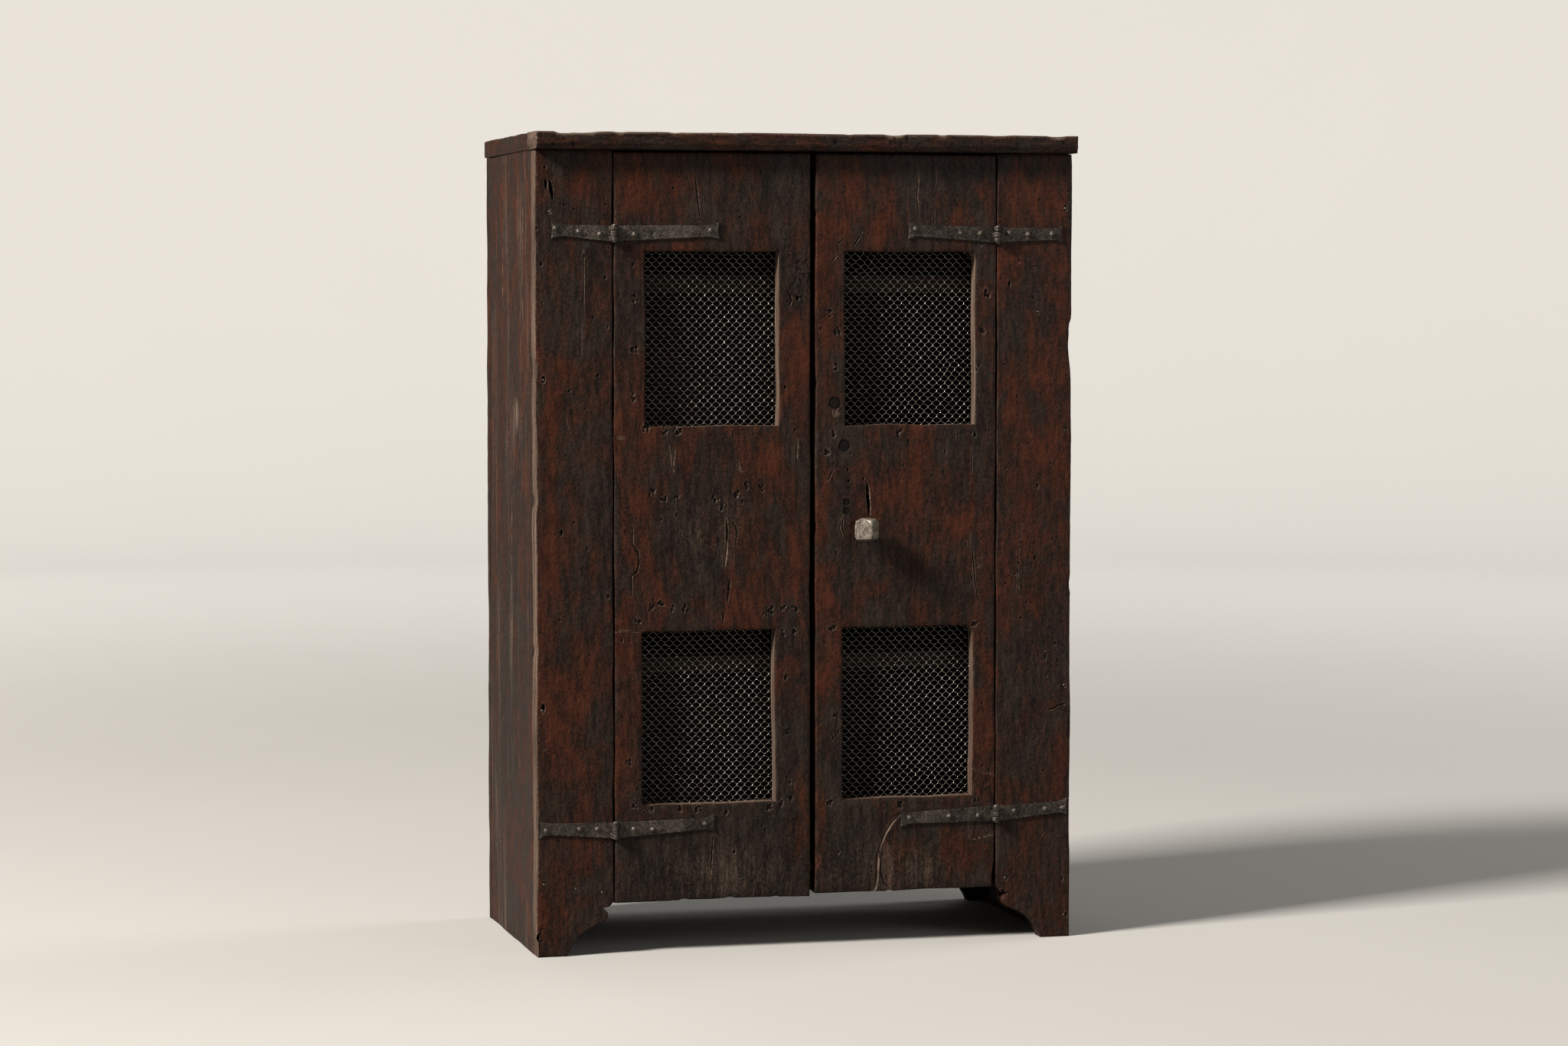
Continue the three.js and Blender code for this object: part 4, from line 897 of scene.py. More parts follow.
def board(name, node, axes, material, body, paint, **changes):
    """A worn board in place of its CAD node.

    axes names the world axes of u, v and w, and its last sign tells whether the outer face is at the low
    or the high end of w.
    """
    spec = {**PLAIN_BOARD, "wander": paint.wander, **changes}
    low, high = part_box(node)
    iu, iv, iw = ("XYZ".index(axis) for axis in axes[:3])
    spec["u"], spec["v"] = (low[iu], high[iu]), (low[iv], high[iv])
    outer, inner = (low[iw], high[iw]) if axes[3] == "-" else (high[iw], low[iw])
    thick, r = abs(inner - outer), paint.arris
    ws = np.array([0, r + EDGE_SLACK, thick / 2, thick - r, thick])
    mesh = refined(*slab(*grid_lines(spec, r), ws, spec["windows"]), spec["marks"])

    points = np.zeros(len(mesh.vertices) * 3)
    mesh.vertices.foreach_get("co", points)
    u, v, w = points.reshape(-1, 3).T
    on_outer, on_inner = w < 1e-7, w > thick - 1e-7
    d = edge_distance(u, v, spec)
    rounded = 0.85 * np.where(d < r, r - np.sqrt(np.maximum(r * r - (r - d) ** 2, 0)), 0)
    swell = rolling(u, v, spec["seed"] + 7, *SWELL_STEPS, spec["swell"] * MM)
    swell += rolling(u, v, spec["seed"] + 8, *RIPPLE_STEPS, 0.3 * spec["swell"] * MM)
    cut, pale = carved(u, v, on_outer, spec)
    sunk = rounded + np.abs(swell) + np.minimum(cut, thick * 0.6)
    sunk = np.where(d < 0.6 * MM, np.minimum(sunk, ws[1] - 0.3 * MM), sunk)
    w = w + on_outer * sunk - on_inner * rounded
    place = u, v
    for shaped in (hand_sawn, round_cornered, bitten, footed):
        place = shaped(*place, spec)
    placed = np.zeros((len(u), 3))
    placed[:, iu], placed[:, iv] = place
    placed[:, iw] = outer + (1 if inner > outer else -1) * w
    placed[:, 2] = np.maximum(placed[:, 2], 0)
    mesh.vertices.foreach_set("co", placed.ravel())
    mark_colours(mesh, *wear_of(u, v, d, on_outer, on_inner, cut, pale, spec))
    return placed_piece(name, mesh, material, body, "old_paint", node)


def placed_piece(name, mesh, material, body, slot, *nodes, smooth=True):
    """Puts a closed mesh in the scene as a piece that rides on a body and stands for its CAD nodes."""
    bm = bmesh.new()
    bm.from_mesh(mesh)
    bmesh.ops.recalc_face_normals(bm, faces=bm.faces)
    bm.to_mesh(mesh)
    bm.free()
    mesh.polygons.foreach_set("use_smooth", [smooth] * len(mesh.polygons))
    mesh.materials.clear()
    mesh.materials.append(material)
    mesh.name = name
    piece = bpy.data.objects.new(name, mesh)
    bpy.context.scene.collection.objects.link(piece)
    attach(piece, body)
    if nodes:
        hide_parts(*nodes)
    return piece


def painted(paint, along):
    return shared_material(f"worn_paint_on_softwood_{along.lower()}", worn_paint, paint, along)


def pine(paint, along):
    return shared_material(f"sawn_bare_pine_{along.lower()}", bare_pine_in_painted_shade, paint, along)


# Dents on the nosing's front, as x and z in millimetres
NOSING_MARKS = [
    dent(-403, 1242, 3, 1.6, 0.8), dent(-372, 1242, 3.5, 2, 0.8), dent(-154, 1251, 2, 1),
    dent(37, 1249, 3.4, 1.6), dent(226, 1247, 2.2, 1.2), gouge([(125, 1256), (127, 1243)], 2, 1.2),
    gouge([(133, 1257), (134, 1245)], 2.4, 1.4), gouge([(141, 1257), (142, 1242)], 2.2, 1.4),
    gouge([(152, 1258), (151, 1246)], 2, 1.2), dent(273, 1251, 2.4, 1), dent(405, 1252, 3, 1.4),
    dent(-27, 1248, 2.4, 1.1), dent(330, 1247, 2, 1),
]
# Chips along its upper arris: x, half length and depth in millimetres
NOSING_CHIPS = [
    (-388, 14, 4.5), (-362, 30, 3.2), (-300, 12, 1.4), (-215, 9, 1.2), (-120, 16, 1), (60, 8, 1.2),
    (133, 18, 2.6), (210, 10, 1.4), (300, 22, 1.2), (395, 18, 1.8),
]


def nosing_outline(low, high):
    """The nosing's section as y and z: chamfered below, notched at its lower back edge, worn on top."""
    run, rise, notch, worn = 4 * MM, 9 * MM, 5 * MM, 2.5 * MM
    front, close, wide = 5 * MM, 2.2 * MM, 7 * MM
    corners = [
        (low.y + run, low.z), (high.y - notch, low.z), (high.y, low.z + notch), (high.y, high.z),
        (low.y + worn, high.z), (low.y + 0.3 * worn, high.z - 0.3 * worn), (low.y, high.z - worn),
        (low.y, low.z + rise),
    ]
    outline = []
    for (y0, z0), (y1, z1) in zip(corners, corners[1:] + corners[:1]):
        step = close if max(y0, y1) < low.y + front else wide
        count = max(int(round(math.hypot(y1 - y0, z1 - z0) / step)), 1)
        outline += [(y0 + (y1 - y0) * k / count, z0 + (z1 - z0) * k / count) for k in range(count)]
    return np.array(outline)


def rings_joined(count, sides):
    """Faces that join count rings of corners one after another and close both ends."""
    base = np.arange(count - 1)[:, None] * sides
    k = np.arange(sides)[None, :]
    around = (k + 1) % sides
    quads = np.stack([base + k, base + around, base + sides + around, base + sides + k], -1).reshape(-1, 4)
    return quads.tolist() + [list(range(sides)), list(range((count - 1) * sides, count * sides))]


def nosing(paint):
    """The strip along the front of the top, chipped along its upper arris."""
    low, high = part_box("top_nosing")
    outline = nosing_outline(low, high)
    xs = ruled(low.x, high.x, 3.2 * MM)
    x = np.repeat(xs, len(outline))
    y, z = np.tile(outline, (len(xs), 1)).T
    front, top = np.exp(-(y - low.y) / (3 * MM)), np.exp(-(high.z - z) / (4 * MM))
    cut = np.maximum.reduce([mark.carve(x, z) for mark in NOSING_MARKS])
    chips = sum(deep * MM * np.clip(1 - ((x / MM - u) / half) ** 2, 0, 1) for u, half, deep in NOSING_CHIPS)
    uneven = rolling(x, z, 91, 60 * MM, 9 * MM, 0.7 * MM) + rolling(x, z, 92, 6 * MM, 5 * MM, 0.25 * MM)
    ends = np.exp(-np.minimum(x - low.x, high.x - x) / (2 * MM))
    inward = np.where(x < 0, 1, -1) * ends * np.abs(rolling(y, z, 95, 9 * MM, 7 * MM, 0.8 * MM))
    y = y + front * (np.abs(uneven) + cut + chips * top)
    z = z - top * (chips * 0.7 + np.abs(wavy(x, 93, 80 * MM, 0.9 * MM)))
    mesh = bpy.data.meshes.new("nosing")
    mesh.from_pydata(np.stack([x + inward, y, z], 1).tolist(), [], rings_joined(len(xs), len(outline)))
    # The upper front arris is paled all along: partly chipped bare wood, partly a painted highlight
    bare = np.maximum(front * top * 0.9, np.clip(chips / (1.5 * MM), 0, 1) * front * np.sqrt(top))
    mark_colours(mesh, np.full_like(x, 0.35), np.maximum(bare, ends * 0.7), cut / (1.2 * MM) * front)
    return placed_piece("worn_top_nosing", mesh, painted(paint, "X"), "case", "old_paint", "top_nosing")


class PIESAFE_OT_case(bpy.types.Operator):
    """Builds the boards of the case"""

    bl_idname = "piesafe.case"
    bl_label = "Case boards"

    def execute(self, context):
        paint = context.scene.pie_safe_paint
        for build in (stiles, side_boards, back_boards, level_boards, cleats, nosing):
            build(paint)
        return {"FINISHED"}


def case_board(node, axes, along, paint, bare=False, **changes):
    """A board of the case: painted and worn, or of bare sawn pine."""
    finish, material = ("sawn", pine) if bare else ("worn", painted)
    board(f"{finish}_{node}", node, axes, material(paint, along), "case", paint, **changes)


def stiles(paint):
    # The last number pales the left arris: partly bare wood, partly a painted highlight
    for hand, foot, seed, marks, red, bites, wear in (
        ("left", 1, 11, LEFT_STILE_MARKS, LEFT_STILE_RED, LEFT_STILE_BITES, 0.62),
        ("right", -1, 23, RIGHT_STILE_MARKS, RIGHT_STILE_RED, RIGHT_STILE_BITES, 0.0),
    ):
        case_board(f"stile_{hand}", "XZY-", "Z", paint, seed=seed, foot=foot, marks=marks, red=red,
                   bites=bites, arris_wear=wear, rows=FOOT_ROWS, step=(5, 8))


def side_boards(paint):
    sides = ("left", "-", 31, LEFT_SIDE_MARKS), ("right", "+", 37, RIGHT_SIDE_MARKS)
    for hand, end, seed, marks in sides:
        # The face wear and the rubs pale the sides: partly rubbed bare wood, partly painted light
        case_board(f"side_board_{hand}", f"YZX{end}", "Z", paint, seed=seed, marks=marks, red=SIDE_RED,
                   rubs=SIDE_RUBS_AND_LIGHT, step=(5, 10), face_wear=0.24)


# How far from the middle of the back its boards' edge faces lie in joints, painted black there as shade
BACK_SHADED_JOINTS = 400 * MM


def back_boards(paint):
    for k, foot in ((1, 1), (2, 0), (3, 0), (4, -1)):
        rows = FOOT_ROWS if foot else ()
        # inside darkens the inner faces with painted shade, and the joints paint the edge faces black as
        # shade
        case_board(f"back_board_{k}", "XZY+", "Z", paint, seed=40 + k, foot=foot, rows=rows, step=(10, 14),
                   swell=0.9, inside=0.4, joints=BACK_SHADED_JOINTS)


def level_boards(paint):
    case_board("top_board", "YXZ+", "X", paint, seed=51, step=(9, 10), swell=1.0)
    case_board("bottom_board", "YXZ+", "X", paint, seed=53, step=(20, 20))
    for k, where in enumerate(("lower", "middle", "upper")):
        case_board(f"shelf_{where}", "YXZ+", "X", paint, bare=True, seed=55 + k, step=(16, 16))


def cleats(paint):
    for where in ("bottom", "lower", "middle", "upper"):
        for hand in ("left", "right"):
            node = f"cleat_{where}_{hand}"
            softened(f"sawn_{node}", node, "case", pine(paint, "Y"), "bare_wood", voxel=3.2, rough=0.5)


# The radius of the sawn corners of the right door's windows, and how far the netting laps the wood
WINDOW_CORNER, NETTING_LAP = 13 * MM, 12 * MM


class PIESAFE_OT_doors(bpy.types.Operator):
    """Builds the door boards and their battens"""

    bl_idname = "piesafe.doors"
    bl_label = "Doors"

    def execute(self, context):
        paint = context.scene.pie_safe_paint
        for hand, seed, marks, red, rubs, bites, corner in (
            ("left", 71, LEFT_DOOR_MARKS, LEFT_DOOR_RED, LEFT_DOOR_RUBS, LEFT_DOOR_BITES, 0),
            (
                "right", 83, RIGHT_DOOR_MARKS, RIGHT_DOOR_RED, RIGHT_DOOR_RUBS, RIGHT_DOOR_BITES,
                WINDOW_CORNER,
            ),
        ):
            windows = [window_box(hand, where) for where in ("upper", "lower")]
            board(
                f"worn_door_{hand}", f"door_{hand}_board", "XZY-", painted(paint, "Z"), f"{hand}_door",
                paint, seed=seed, windows=windows, marks=marks, red=red, rubs=rubs, bites=bites,
                corner=corner, step=(5, 8), swell=0.6,
            )
            for where in ("upper", "lower"):
                node = f"door_{hand}_batten_{where}"
                wood = pine(paint, "X")
                softened(f"sawn_{node}", node, f"{hand}_door", wood, "bare_wood", voxel=2.4, rough=0.5)
        return {"FINISHED"}


def window_box(hand, where):
    """A window's sides, sill and head, worked out from the netting panel that laps it."""
    low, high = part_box(f"netting_{hand}_{where}")
    return low.x + NETTING_LAP, high.x - NETTING_LAP, low.z + NETTING_LAP, high.z - NETTING_LAP


# Netting


def tube(points, radius, sides):
    """Corners and faces of a wire along points, with closed ends."""
    tangent = np.gradient(points, axis=0)
    tangent /= np.linalg.norm(tangent, axis=1)[:, None]
    helper = np.where(np.abs(tangent[:, 1:2]) > 0.9, (1.0, 0.0, 0.0), (0.0, 1.0, 0.0))
    across = np.cross(tangent, helper)
    across /= np.linalg.norm(across, axis=1)[:, None]
    other = np.cross(across, tangent)
    angle = (np.arange(sides) * 2 * math.pi / sides)[None, :, None]
    corners = points[:, None] + radius * (np.cos(angle) * across[:, None] + np.sin(angle) * other[:, None])
    return corners.reshape(-1, 3), rings_joined(len(points), sides)


def joined(parts):
    """Several meshes' corners and faces as one mesh."""
    corners, faces, start = [], [], 0
    for points, polygons in parts:
        corners.append(points)
        faces += [[k + start for k in polygon] for polygon in polygons]
        start += len(points)
    mesh = bpy.data.meshes.new("joined")
    mesh.from_pydata(np.concatenate(corners).tolist(), [], faces)
    return mesh


def netting_wires(left, right, bottom, top, netting):
    """Centre lines of the wires, each twisting once round its neighbour on one side, then on the other."""
    columns = int((right - left) / netting.pitch)
    rows = int((top - bottom) / netting.row_pitch)
    start = (left + right - columns * netting.pitch) / 2
    turn, reach = np.linspace(0, 2 * math.pi, 5), netting.wire / 2
    for wire in range(2 * columns):
        line = []
        for row in range(rows):
            odd = row % 2
            x = start + ((wire + odd) // 2 + (1 - odd) / 2) * netting.pitch
            angle = turn + (math.pi if wire % 2 == odd else 0)
            z = bottom + (row + 0.5) * netting.row_pitch + (turn / (2 * math.pi) - 0.5) * netting.twist
            line.append(np.stack([x + np.cos(angle) * reach, np.sin(angle) * reach, z], 1))
        yield np.concatenate(line)


# Where the netting is pushed about: x, z and reach in millimetres, and how far it is pushed in x, y and z
NETTING_KNOCKS = {
    "left_upper": [(-150, 940, 60, 0, 1.2, -1.5), (-70, 880, 40, 1.2, 0.6, 0)],
    "left_lower": [(-200, 350, 60, -1, 1.2, 1), (-90, 420, 40, 0.6, 0.8, 0.8)],
    "right_upper": [
        (95, 1062, 16, 4, 1.5, -3.5), (190, 845, 24, -2.5, 1.2, 2), (244, 905, 16, -3, 1.5, 2.5),
        (120, 960, 60, 0.8, 1, 0.5),
    ],
    "right_lower": [(200, 262, 16, 3, 1.5, 3), (140, 400, 60, 0.8, 1, -0.6), (90, 300, 40, -0.6, 0.8, 0.6)],
}


# How far the long waves take the netting's cells off their even rows
BEND = 0.7 * MM


def buckled(line, low, knocked, seed, netting):
    """A wire's line laid in its panel, bent in long waves, bellied and knocked about."""
    x, y, z = line.T
    bend_x = BEND * np.sin(z * 17 + seed * 2) * np.sin(x * 11 + seed)
    bend_z = BEND * np.sin(x * 19 + seed * 3) * np.sin(z * 13 + seed)
    belly = netting.buckle * (0.5 + 0.5 * np.sin(x * 29 + seed * 2) * np.sin(z * 23 + seed * 3))
    for u0, v0, reach, push_x, push_y, push_z in knocked:
        near = MM * np.exp(-((x / MM - u0) ** 2 + (z / MM - v0) ** 2) / reach ** 2)
        bend_x, belly, bend_z = bend_x + push_x * near, belly + push_y * near, bend_z + push_z * near
    return np.stack([x + bend_x, low.y + y + netting.wire + belly, z + bend_z], 1)


def staple(x, z, y, way):
    """A small wire staple driven over the netting's hem; way is the direction that it straddles."""
    half, stand, wire = 4 * MM, 1.7 * MM, 0.7 * MM
    profile = [(-half, -2.5), (-half, 0.6), (-half * 0.6, 1), (half * 0.6, 1), (half, 0.6), (half, -2.5)]
    line = np.array([(x + way[0] * a, y + stand * b, z + way[1] * a) for a, b in profile])
    return tube(line, wire, 5)


def staple_places(low, high):
    """Where the staples go round a panel, and the way that each one straddles the hem."""
    inset, end_x, end_z = 5 * MM, 20 * MM, 30 * MM
    for x in np.linspace(low.x + end_x, high.x - end_x, 5):
        yield x, low.z + inset, (0, 1)
        yield x, high.z - inset, (0, 1)
    for z in np.linspace(low.z + end_z, high.z - end_z, 6):
        yield low.x + inset, z, (1, 0)
        yield high.x - inset, z, (1, 0)


class PIESAFE_OT_netting(bpy.types.Operator):
    """Weaves the wire netting behind the windows and staples it down"""

    bl_idname = "piesafe.netting"
    bl_label = "Wire netting"

    def execute(self, context):
        netting = context.scene.pie_safe_netting
        zinc = shared_material("dull_galvanised_wire", zinc_wire, netting)
        hem = 1.5 * MM
        for seed, (name, knocked) in enumerate(NETTING_KNOCKS.items()):
            low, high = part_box(f"netting_{name}")
            body = f"{name.split('_')[0]}_door"
            lines = netting_wires(low.x + hem, high.x - hem, low.z + hem, high.z - hem, netting)
            bent = [buckled(line, low, knocked, seed, netting) for line in lines]
            wires = joined([tube(line, netting.wire / 2, 4) for line in bent])
            placed_piece(f"wire_netting_{name}", wires, zinc, body, "netting_wire", f"netting_{name}")
            staples = [staple(x, z, low.y + netting.wire, way) for x, z, way in staple_places(low, high)]
            placed_piece(f"netting_staples_{name}", joined(staples), zinc, body, "netting_wire")
        return {"FINISHED"}


# Ironwork


def reskinned(mesh, voxel, passes=2):
    """The mesh with an even skin of faces about a voxel wide, in millimetres, and its arrises softened."""
    piece = bpy.data.objects.new("blank", mesh)
    bpy.context.scene.collection.objects.link(piece)
    skin = piece.modifiers.new("skin", "REMESH")
    skin.mode = "VOXEL"
    skin.voxel_size = voxel * MM
    piece.modifiers.new("soften", "SMOOTH").iterations = passes
    result = bpy.data.meshes.new_from_object(piece.evaluated_get(bpy.context.evaluated_depsgraph_get()))
    bpy.data.objects.remove(piece)
    return result


def hammered(mesh, rough, seed, coarse=90, fine=330):
    """Pushes the surface in and out by about rough millimetres.

    coarse and fine say how many swells of its two patterns go into a metre.
    """
    shift = Vector((seed * 3.1, seed * 1.7, seed * 2.3))
    normals = [vertex.normal.copy() for vertex in mesh.vertices]
    for vertex, normal in zip(mesh.vertices, normals):
        push = noise.noise(vertex.co * coarse + shift) + 0.4 * noise.noise(vertex.co * fine + shift)
        vertex.co += normal * push * rough * MM


def softened(name, node, body, material, slot, voxel, rough, seed=0, holes=(), passes=2):
    """A CAD piece with its arrises worn soft and its faces left uneven by the tool that made it.

    voxel is the size of the new mesh's faces and rough the height of the unevenness, in millimetres. holes
    are places, as x, z and radius in millimetres, where the front face is sunk.
    """
    hole_depth = 2 * MM
    mesh = reskinned(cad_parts[node].data.copy(), voxel, passes)
    hammered(mesh, rough, seed)
    for x, z, radius in holes:
        for vertex in mesh.vertices:
            if vertex.normal.y < -0.5 and math.hypot(vertex.co.x / MM - x, vertex.co.z / MM - z) < radius:
                vertex.co.y += hole_depth
    return placed_piece(name, mesh, material, body, slot, node)


# A rose head's rings from its root to its point, as shares of its radius: how wide each is, and how far
# behind the head's place it lies
ROSE_RINGS = ((0.9, 0.25), (1.0, -0.2), (0.8, -0.55), (0.4, -0.8), (0.08, -0.9))


def nail_head(x, z, y, radius, seed):
    """A rose head: a few uneven facets beaten to a low point, with its root in the surface at y."""
    chance = np.random.RandomState(seed)
    sides = 8
    angle = np.arange(sides) * 2 * math.pi / sides + chance.uniform(0, 1)
    rings = []
    for share, behind in ROSE_RINGS:
        reach = radius * share * chance.uniform(0.86, 1.1, sides)
        level = np.full(sides, y + behind * radius)
        rings.append(np.stack([x + np.cos(angle) * reach, level, z + np.sin(angle) * reach], 1))
    return np.concatenate(rings), rings_joined(len(rings), sides)


# Nail heads in the straps, as x and z in millimetres, by what carries them
STRAP_NAILS = {
    "case": [
        (-397, 1116), (-361, 1111), (-328, 1107), (324, 1110.5), (355, 1109), (394, 1110), (-414, 196),
        (-362, 196.5), (-333.5, 196), (335.5, 203), (386, 205), (415, 206),
    ],
    "left_door": [(-274, 1107), (-155, 1113), (-277, 194), (-247, 193), (-164.5, 199)],
    "right_door": [(172, 1117), (245, 1111), (277, 1110), (164, 198), (229, 198.5), (276, 197.5)],
}
# Nail heads in the stiles
BOARD_NAILS = [
    (-405, 1141), (-415, 885), (-419, 380), (-417, 113), (-367, 104), (-326, 97), (417, 1150), (373, 988),
    (418, 802), (418, 400), (419, 35), (322, 97),
]
# Holes that have lost their nail, as x, z and radius in millimetres, by hinge
EMPTY_HOLES = {"left_upper": [(-245.7, 1108.6, 2.6)]}
STRAP_THICKNESS = 3 * MM
# How far the heads' places lie in front of the strap's face, and behind the stile's
STRAP_NAIL_PROUD, BOARD_NAIL_SUNK = 0.8 * MM, 1.6 * MM


class PIESAFE_OT_hinges(bpy.types.Operator):
    """Forges the strap hinges and drives their nails"""

    bl_idname = "piesafe.hinges"
    bl_label = "Strap hinges"

    def execute(self, context):
        iron = context.scene.pie_safe_iron
        wrought = shared_material("hammered_wrought_iron", forged_iron, iron, 0.0)
        rubbed = shared_material("rubbed_wrought_iron", forged_iron, iron, 0.9)
        driven = shared_material("driven_nail_iron", forged_iron, iron, 0.25)
        for seed, hinge in enumerate(("left_upper", "left_lower", "right_upper", "right_lower")):
            door = f"{hinge.split('_')[0]}_door"
            for part, body, iron_finish, voxel, rough, holes in (
                ("stile_leaf", "case", wrought, 0.9, 0.35, ()),
                ("door_leaf", door, wrought, 0.9, 0.35, EMPTY_HOLES.get(hinge, ())),
                ("pin", "case", rubbed, 0.8, 0.15, ()),
            ):
                node = f"hinge_{hinge}_{part}"
                name = f"forged_{node}"
                softened(name, node, body, iron_finish, "forged_iron", voxel, rough, seed, holes, 1)
        strap_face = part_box("hinge_left_upper_door_leaf")[1].y - STRAP_THICKNESS
        for body, places in STRAP_NAILS.items():
            name = f"strap_nails_{body}"
            nails(name, places, strap_face - STRAP_NAIL_PROUD, iron.strap_nail, body, driven)
        board_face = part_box("stile_left")[0].y
        nails("board_nails", BOARD_NAILS, board_face + BOARD_NAIL_SUNK, iron.board_nail, "case", driven)
        return {"FINISHED"}


def nails(name, places, y, radius, body, material):
    """Nail heads at the places given, as one piece."""
    heads = [nail_head(x * MM, z * MM, y, radius, k) for k, (x, z) in enumerate(places)]
    placed_piece(name, joined(heads), material, body, "forged_iron", smooth=False)


# The knob in millimetres: its outline from the front, as x and z from its middle, and its sections from
# flange to edge, as depth and share of the outline. In front two flat facets meet at an upright ridge, which
# lies at one x and depth and keeps a share of the outline in x and in z.
KNOB_OUTLINE = (
    (18, 12), (13.5, 16.5), (3, 17.8), (-8, 18), (-16.5, 14), (-18, 0), (-17.5, -16), (3, -18),
    (17.5, -14.5),
)
KNOB_SECTIONS = ((0, 0.82), (3, 0.9), (6, 0.7), (9, 0.7), (13, 0.95), (18, 1.0), (22.5, 0.95))
RIDGE_X, RIDGE_DEPTH = 3.5, 31.5
RIDGE_SHARE_X, RIDGE_SHARE_Z = 0.06, 0.78


def knob_blank():
    """The knob as flat facets round a waist, before its arrises are softened."""
    low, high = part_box("knob")
    x0, z0 = (low.x + high.x) / 2, (low.z + high.z) / 2
    rings = [[(x * share, depth, z * share) for x, z in KNOB_OUTLINE] for depth, share in KNOB_SECTIONS]
    rings.append([(RIDGE_X + RIDGE_SHARE_X * x, RIDGE_DEPTH, RIDGE_SHARE_Z * z) for x, z in KNOB_OUTLINE])
    points = [(x0 + x * MM, high.y - depth * MM, z0 + z * MM) for ring in rings for x, depth, z in ring]
    mesh = bpy.data.meshes.new("knob")
    mesh.from_pydata(points, [], rings_joined(len(rings), len(KNOB_OUTLINE)))
    return mesh


class PIESAFE_OT_knob(bpy.types.Operator):
    """Shapes the knob and the latch behind it"""

    bl_idname = "piesafe.knob"
    bl_label = "Knob and latch"

    def execute(self, context):
        iron = context.scene.pie_safe_iron
        wrought = shared_material("hammered_wrought_iron", forged_iron, iron, 0.0)
        pale = shared_material("filed_white_metal", filed_white_metal, iron)
        knob = reskinned(knob_blank(), voxel=0.7, passes=1)
        hammered(knob, rough=0.25, seed=3, coarse=110, fine=420)
        placed_piece("filed_knob", knob, pale, "knob_latch", "worn_metal", "knob")
        for node in ("knob_spindle", "latch_washer", "latch_cross_pin"):
            name = f"forged_{node}"
            softened(name, node, "knob_latch", wrought, "forged_iron", voxel=0.5, rough=0.1)
        bar, name = pine(context.scene.pie_safe_paint, "Z"), "whittled_latch_bar"
        softened(name, "latch_bar", "knob_latch", bar, "bare_wood", voxel=1.4, rough=0.5)
        return {"FINISHED"}


# Stage


# The camera that took the photograph, solved from the case's straight edges: its sensor's width and focal
# length in millimetres, its place in metres, and how many degrees it looks down and to the right
SENSOR, LENS = 36, 92.593
CAMERA_PLACE = (-1.5613, -6.2306, 1.01855)
LOOKS_DOWN, LOOKS_RIGHT = 3.275, 14.157
# What the lamps are aimed at, and each lamp's place and size in metres, and its tint
AIM = Vector((0, 0, 0.65))
LAMPS = {
    "key": ((-9.0, -3.45, 7.25), 2.3, (1, 0.97, 0.93)),
    "fill": ((3.2, -4.2, 2.0), 2.4, (0.95, 0.97, 1)),
    "side": ((6.5, 1.5, 5.0), 3.0, (0.97, 0.98, 1)),
    "back": ((-1.5, 6.5, 6.5), 3.0, (0.97, 0.98, 1)),
}


def photo_camera():
    """Sets the camera where the photograph was taken from."""
    data = bpy.data.cameras.new("photo_camera")
    data.sensor_width = SENSOR
    data.lens = LENS
    camera = bpy.data.objects.new("photo_camera", data)
    camera.location = CAMERA_PLACE
    camera.rotation_euler = (math.radians(90 - LOOKS_DOWN), 0, math.radians(-LOOKS_RIGHT))
    bpy.context.scene.collection.objects.link(camera)
    bpy.context.scene.camera = camera


def soft_light(name, place, size, power, tint):
    """A large soft lamp aimed at the middle of the safe."""
    data = bpy.data.lights.new(name, "AREA")
    data.size = size
    data.energy = power
    data.color = tint
    lamp = bpy.data.objects.new(name, data)
    lamp.location = place
    lamp.rotation_euler = (AIM - Vector(place)).to_track_quat("-Z", "Y").to_euler()
    bpy.context.scene.collection.objects.link(lamp)


def paper_sweep(rgb):
    """Seamless paper that lies as the floor and curves up all round, beyond every camera."""
    radius, bend, top, sides = 12.0, 3.0, 9.0, 64
    turns = np.linspace(0, math.pi / 2, 13)
    line = [(radius - bend + bend * math.sin(a), bend - bend * math.cos(a)) for a in turns]
    line = [(reach, 0.0) for reach in (1.5, 3.0, 5.0, 7.0)] + line + [(radius, top)]
    around = [2 * math.pi * k / sides for k in range(sides)]
    points = [(reach * math.cos(a), reach * math.sin(a), z) for reach, z in line for a in around]
    *faces, middle, _ = rings_joined(len(line), sides)
    mesh = bpy.data.meshes.new("studio_paper")
    mesh.from_pydata(points, [], [face[::-1] for face in faces] + [middle])
    mesh.polygons.foreach_set("use_smooth", [True] * len(mesh.polygons))
    mesh.materials.append(shared_material("seamless_studio_paper", studio_paper, rgb))
    paper = bpy.data.objects.new("studio_paper", mesh)
    bpy.context.scene.collection.objects.link(paper)


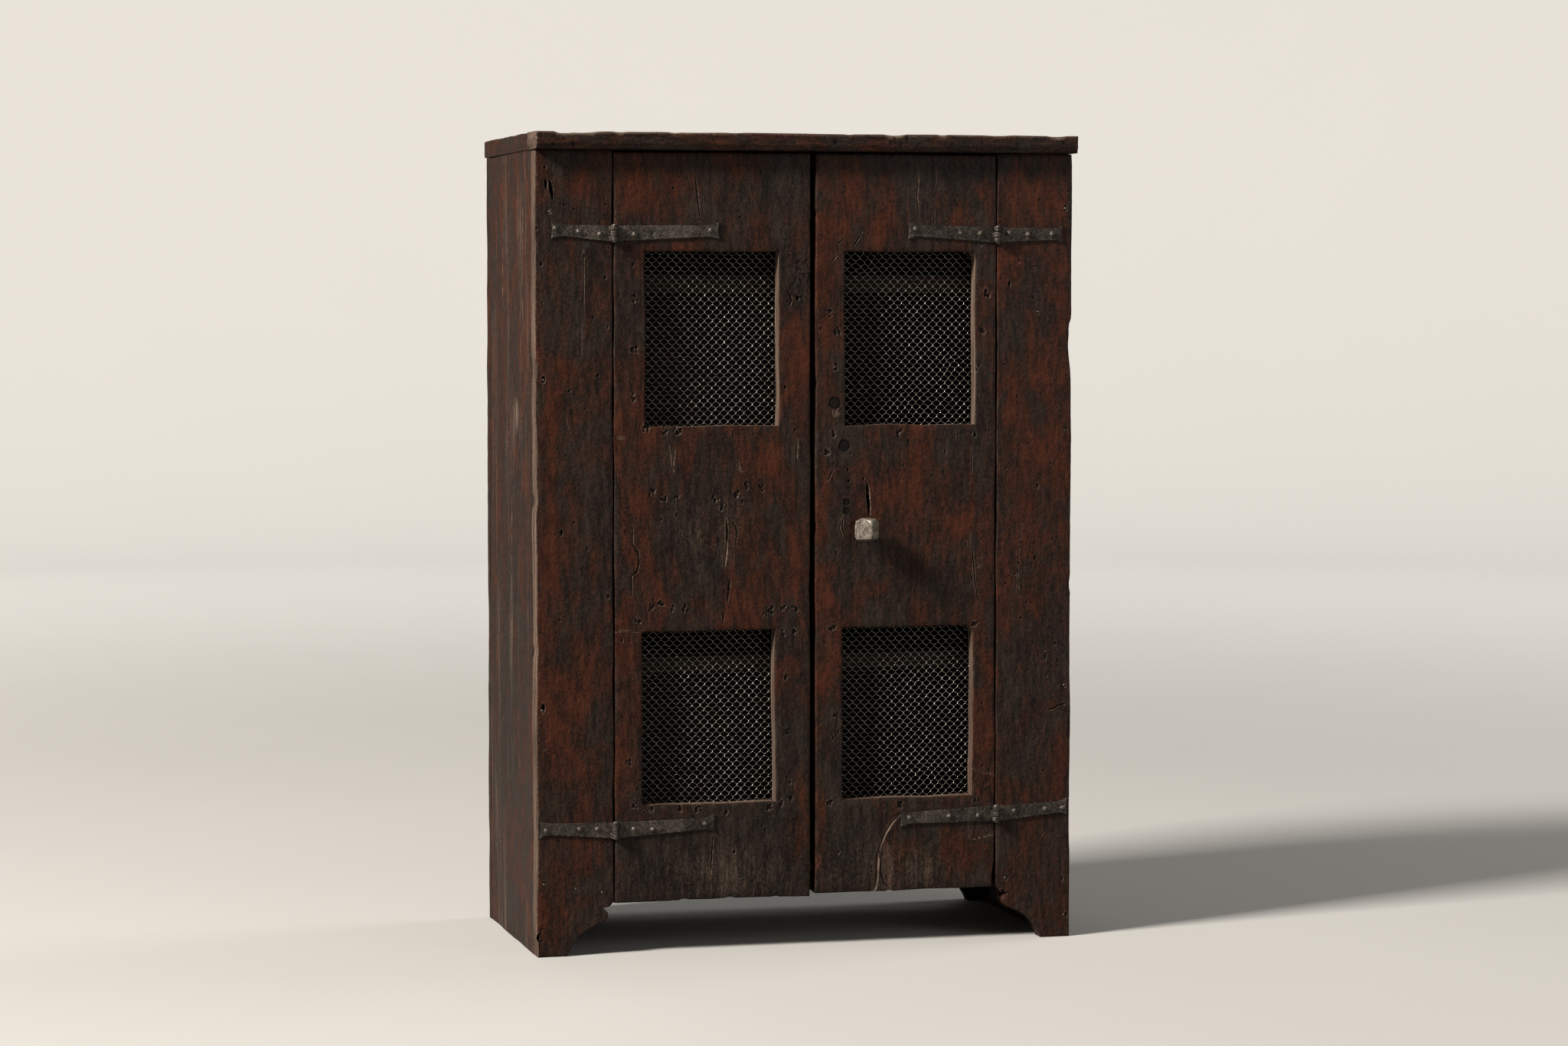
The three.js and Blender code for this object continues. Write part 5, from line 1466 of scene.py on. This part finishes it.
class PIESAFE_OT_stage(bpy.types.Operator):
    """Sets the floor, the lights and the camera"""

    bl_idname = "piesafe.stage"
    bl_label = "Stage"

    def execute(self, context):
        stage = context.scene.pie_safe_stage
        photo_camera()
        paper_sweep(stage.paper)
        world = bpy.data.worlds.new("studio_world")
        context.scene.world = world
        world.use_nodes = True
        background = world.node_tree.nodes["Background"].inputs
        background["Color"].default_value = (*stage.sky, 1)
        background["Strength"].default_value = stage.ambient
        for name, (place, size, tint) in LAMPS.items():
            soft_light(f"{name}_light", place, size, getattr(stage, f"{name}_power"), tint)
        context.scene.view_settings.view_transform = "Standard"
        return {"FINISHED"}


OPERATORS = (
    PIESAFE_OT_stage, PIESAFE_OT_case, PIESAFE_OT_doors, PIESAFE_OT_netting, PIESAFE_OT_hinges,
    PIESAFE_OT_knob,
)
SETTINGS = {
    "pie_safe_paint": PaintSettings,
    "pie_safe_iron": IronSettings,
    "pie_safe_netting": NettingSettings,
    "pie_safe_stage": StageSettings,
}


class PIESAFE_PT_panel(bpy.types.Panel):
    """Lists the pieces of the pie safe"""

    bl_idname = "PIESAFE_PT_panel"
    bl_label = "Pie safe"
    bl_space_type = "VIEW_3D"
    bl_region_type = "UI"
    bl_category = "Pie safe"

    def draw(self, context):
        for operator in OPERATORS:
            self.layout.operator(operator.bl_idname)


def register():
    for cls in (*SETTINGS.values(), *OPERATORS, PIESAFE_PT_panel):
        bpy.utils.register_class(cls)
    for name, cls in SETTINGS.items():
        setattr(bpy.types.Scene, name, PointerProperty(type=cls))


def unregister():
    for name in SETTINGS:
        delattr(bpy.types.Scene, name)
    for cls in (PIESAFE_PT_panel, *reversed(OPERATORS), *reversed(SETTINGS.values())):
        bpy.utils.unregister_class(cls)


def main():
    register()
    bpy.ops.piesafe.stage()
    bpy.ops.piesafe.case()
    bpy.ops.piesafe.doors()
    bpy.ops.piesafe.netting()
    bpy.ops.piesafe.hinges()
    bpy.ops.piesafe.knob()


if __name__ == "__main__":
    main()
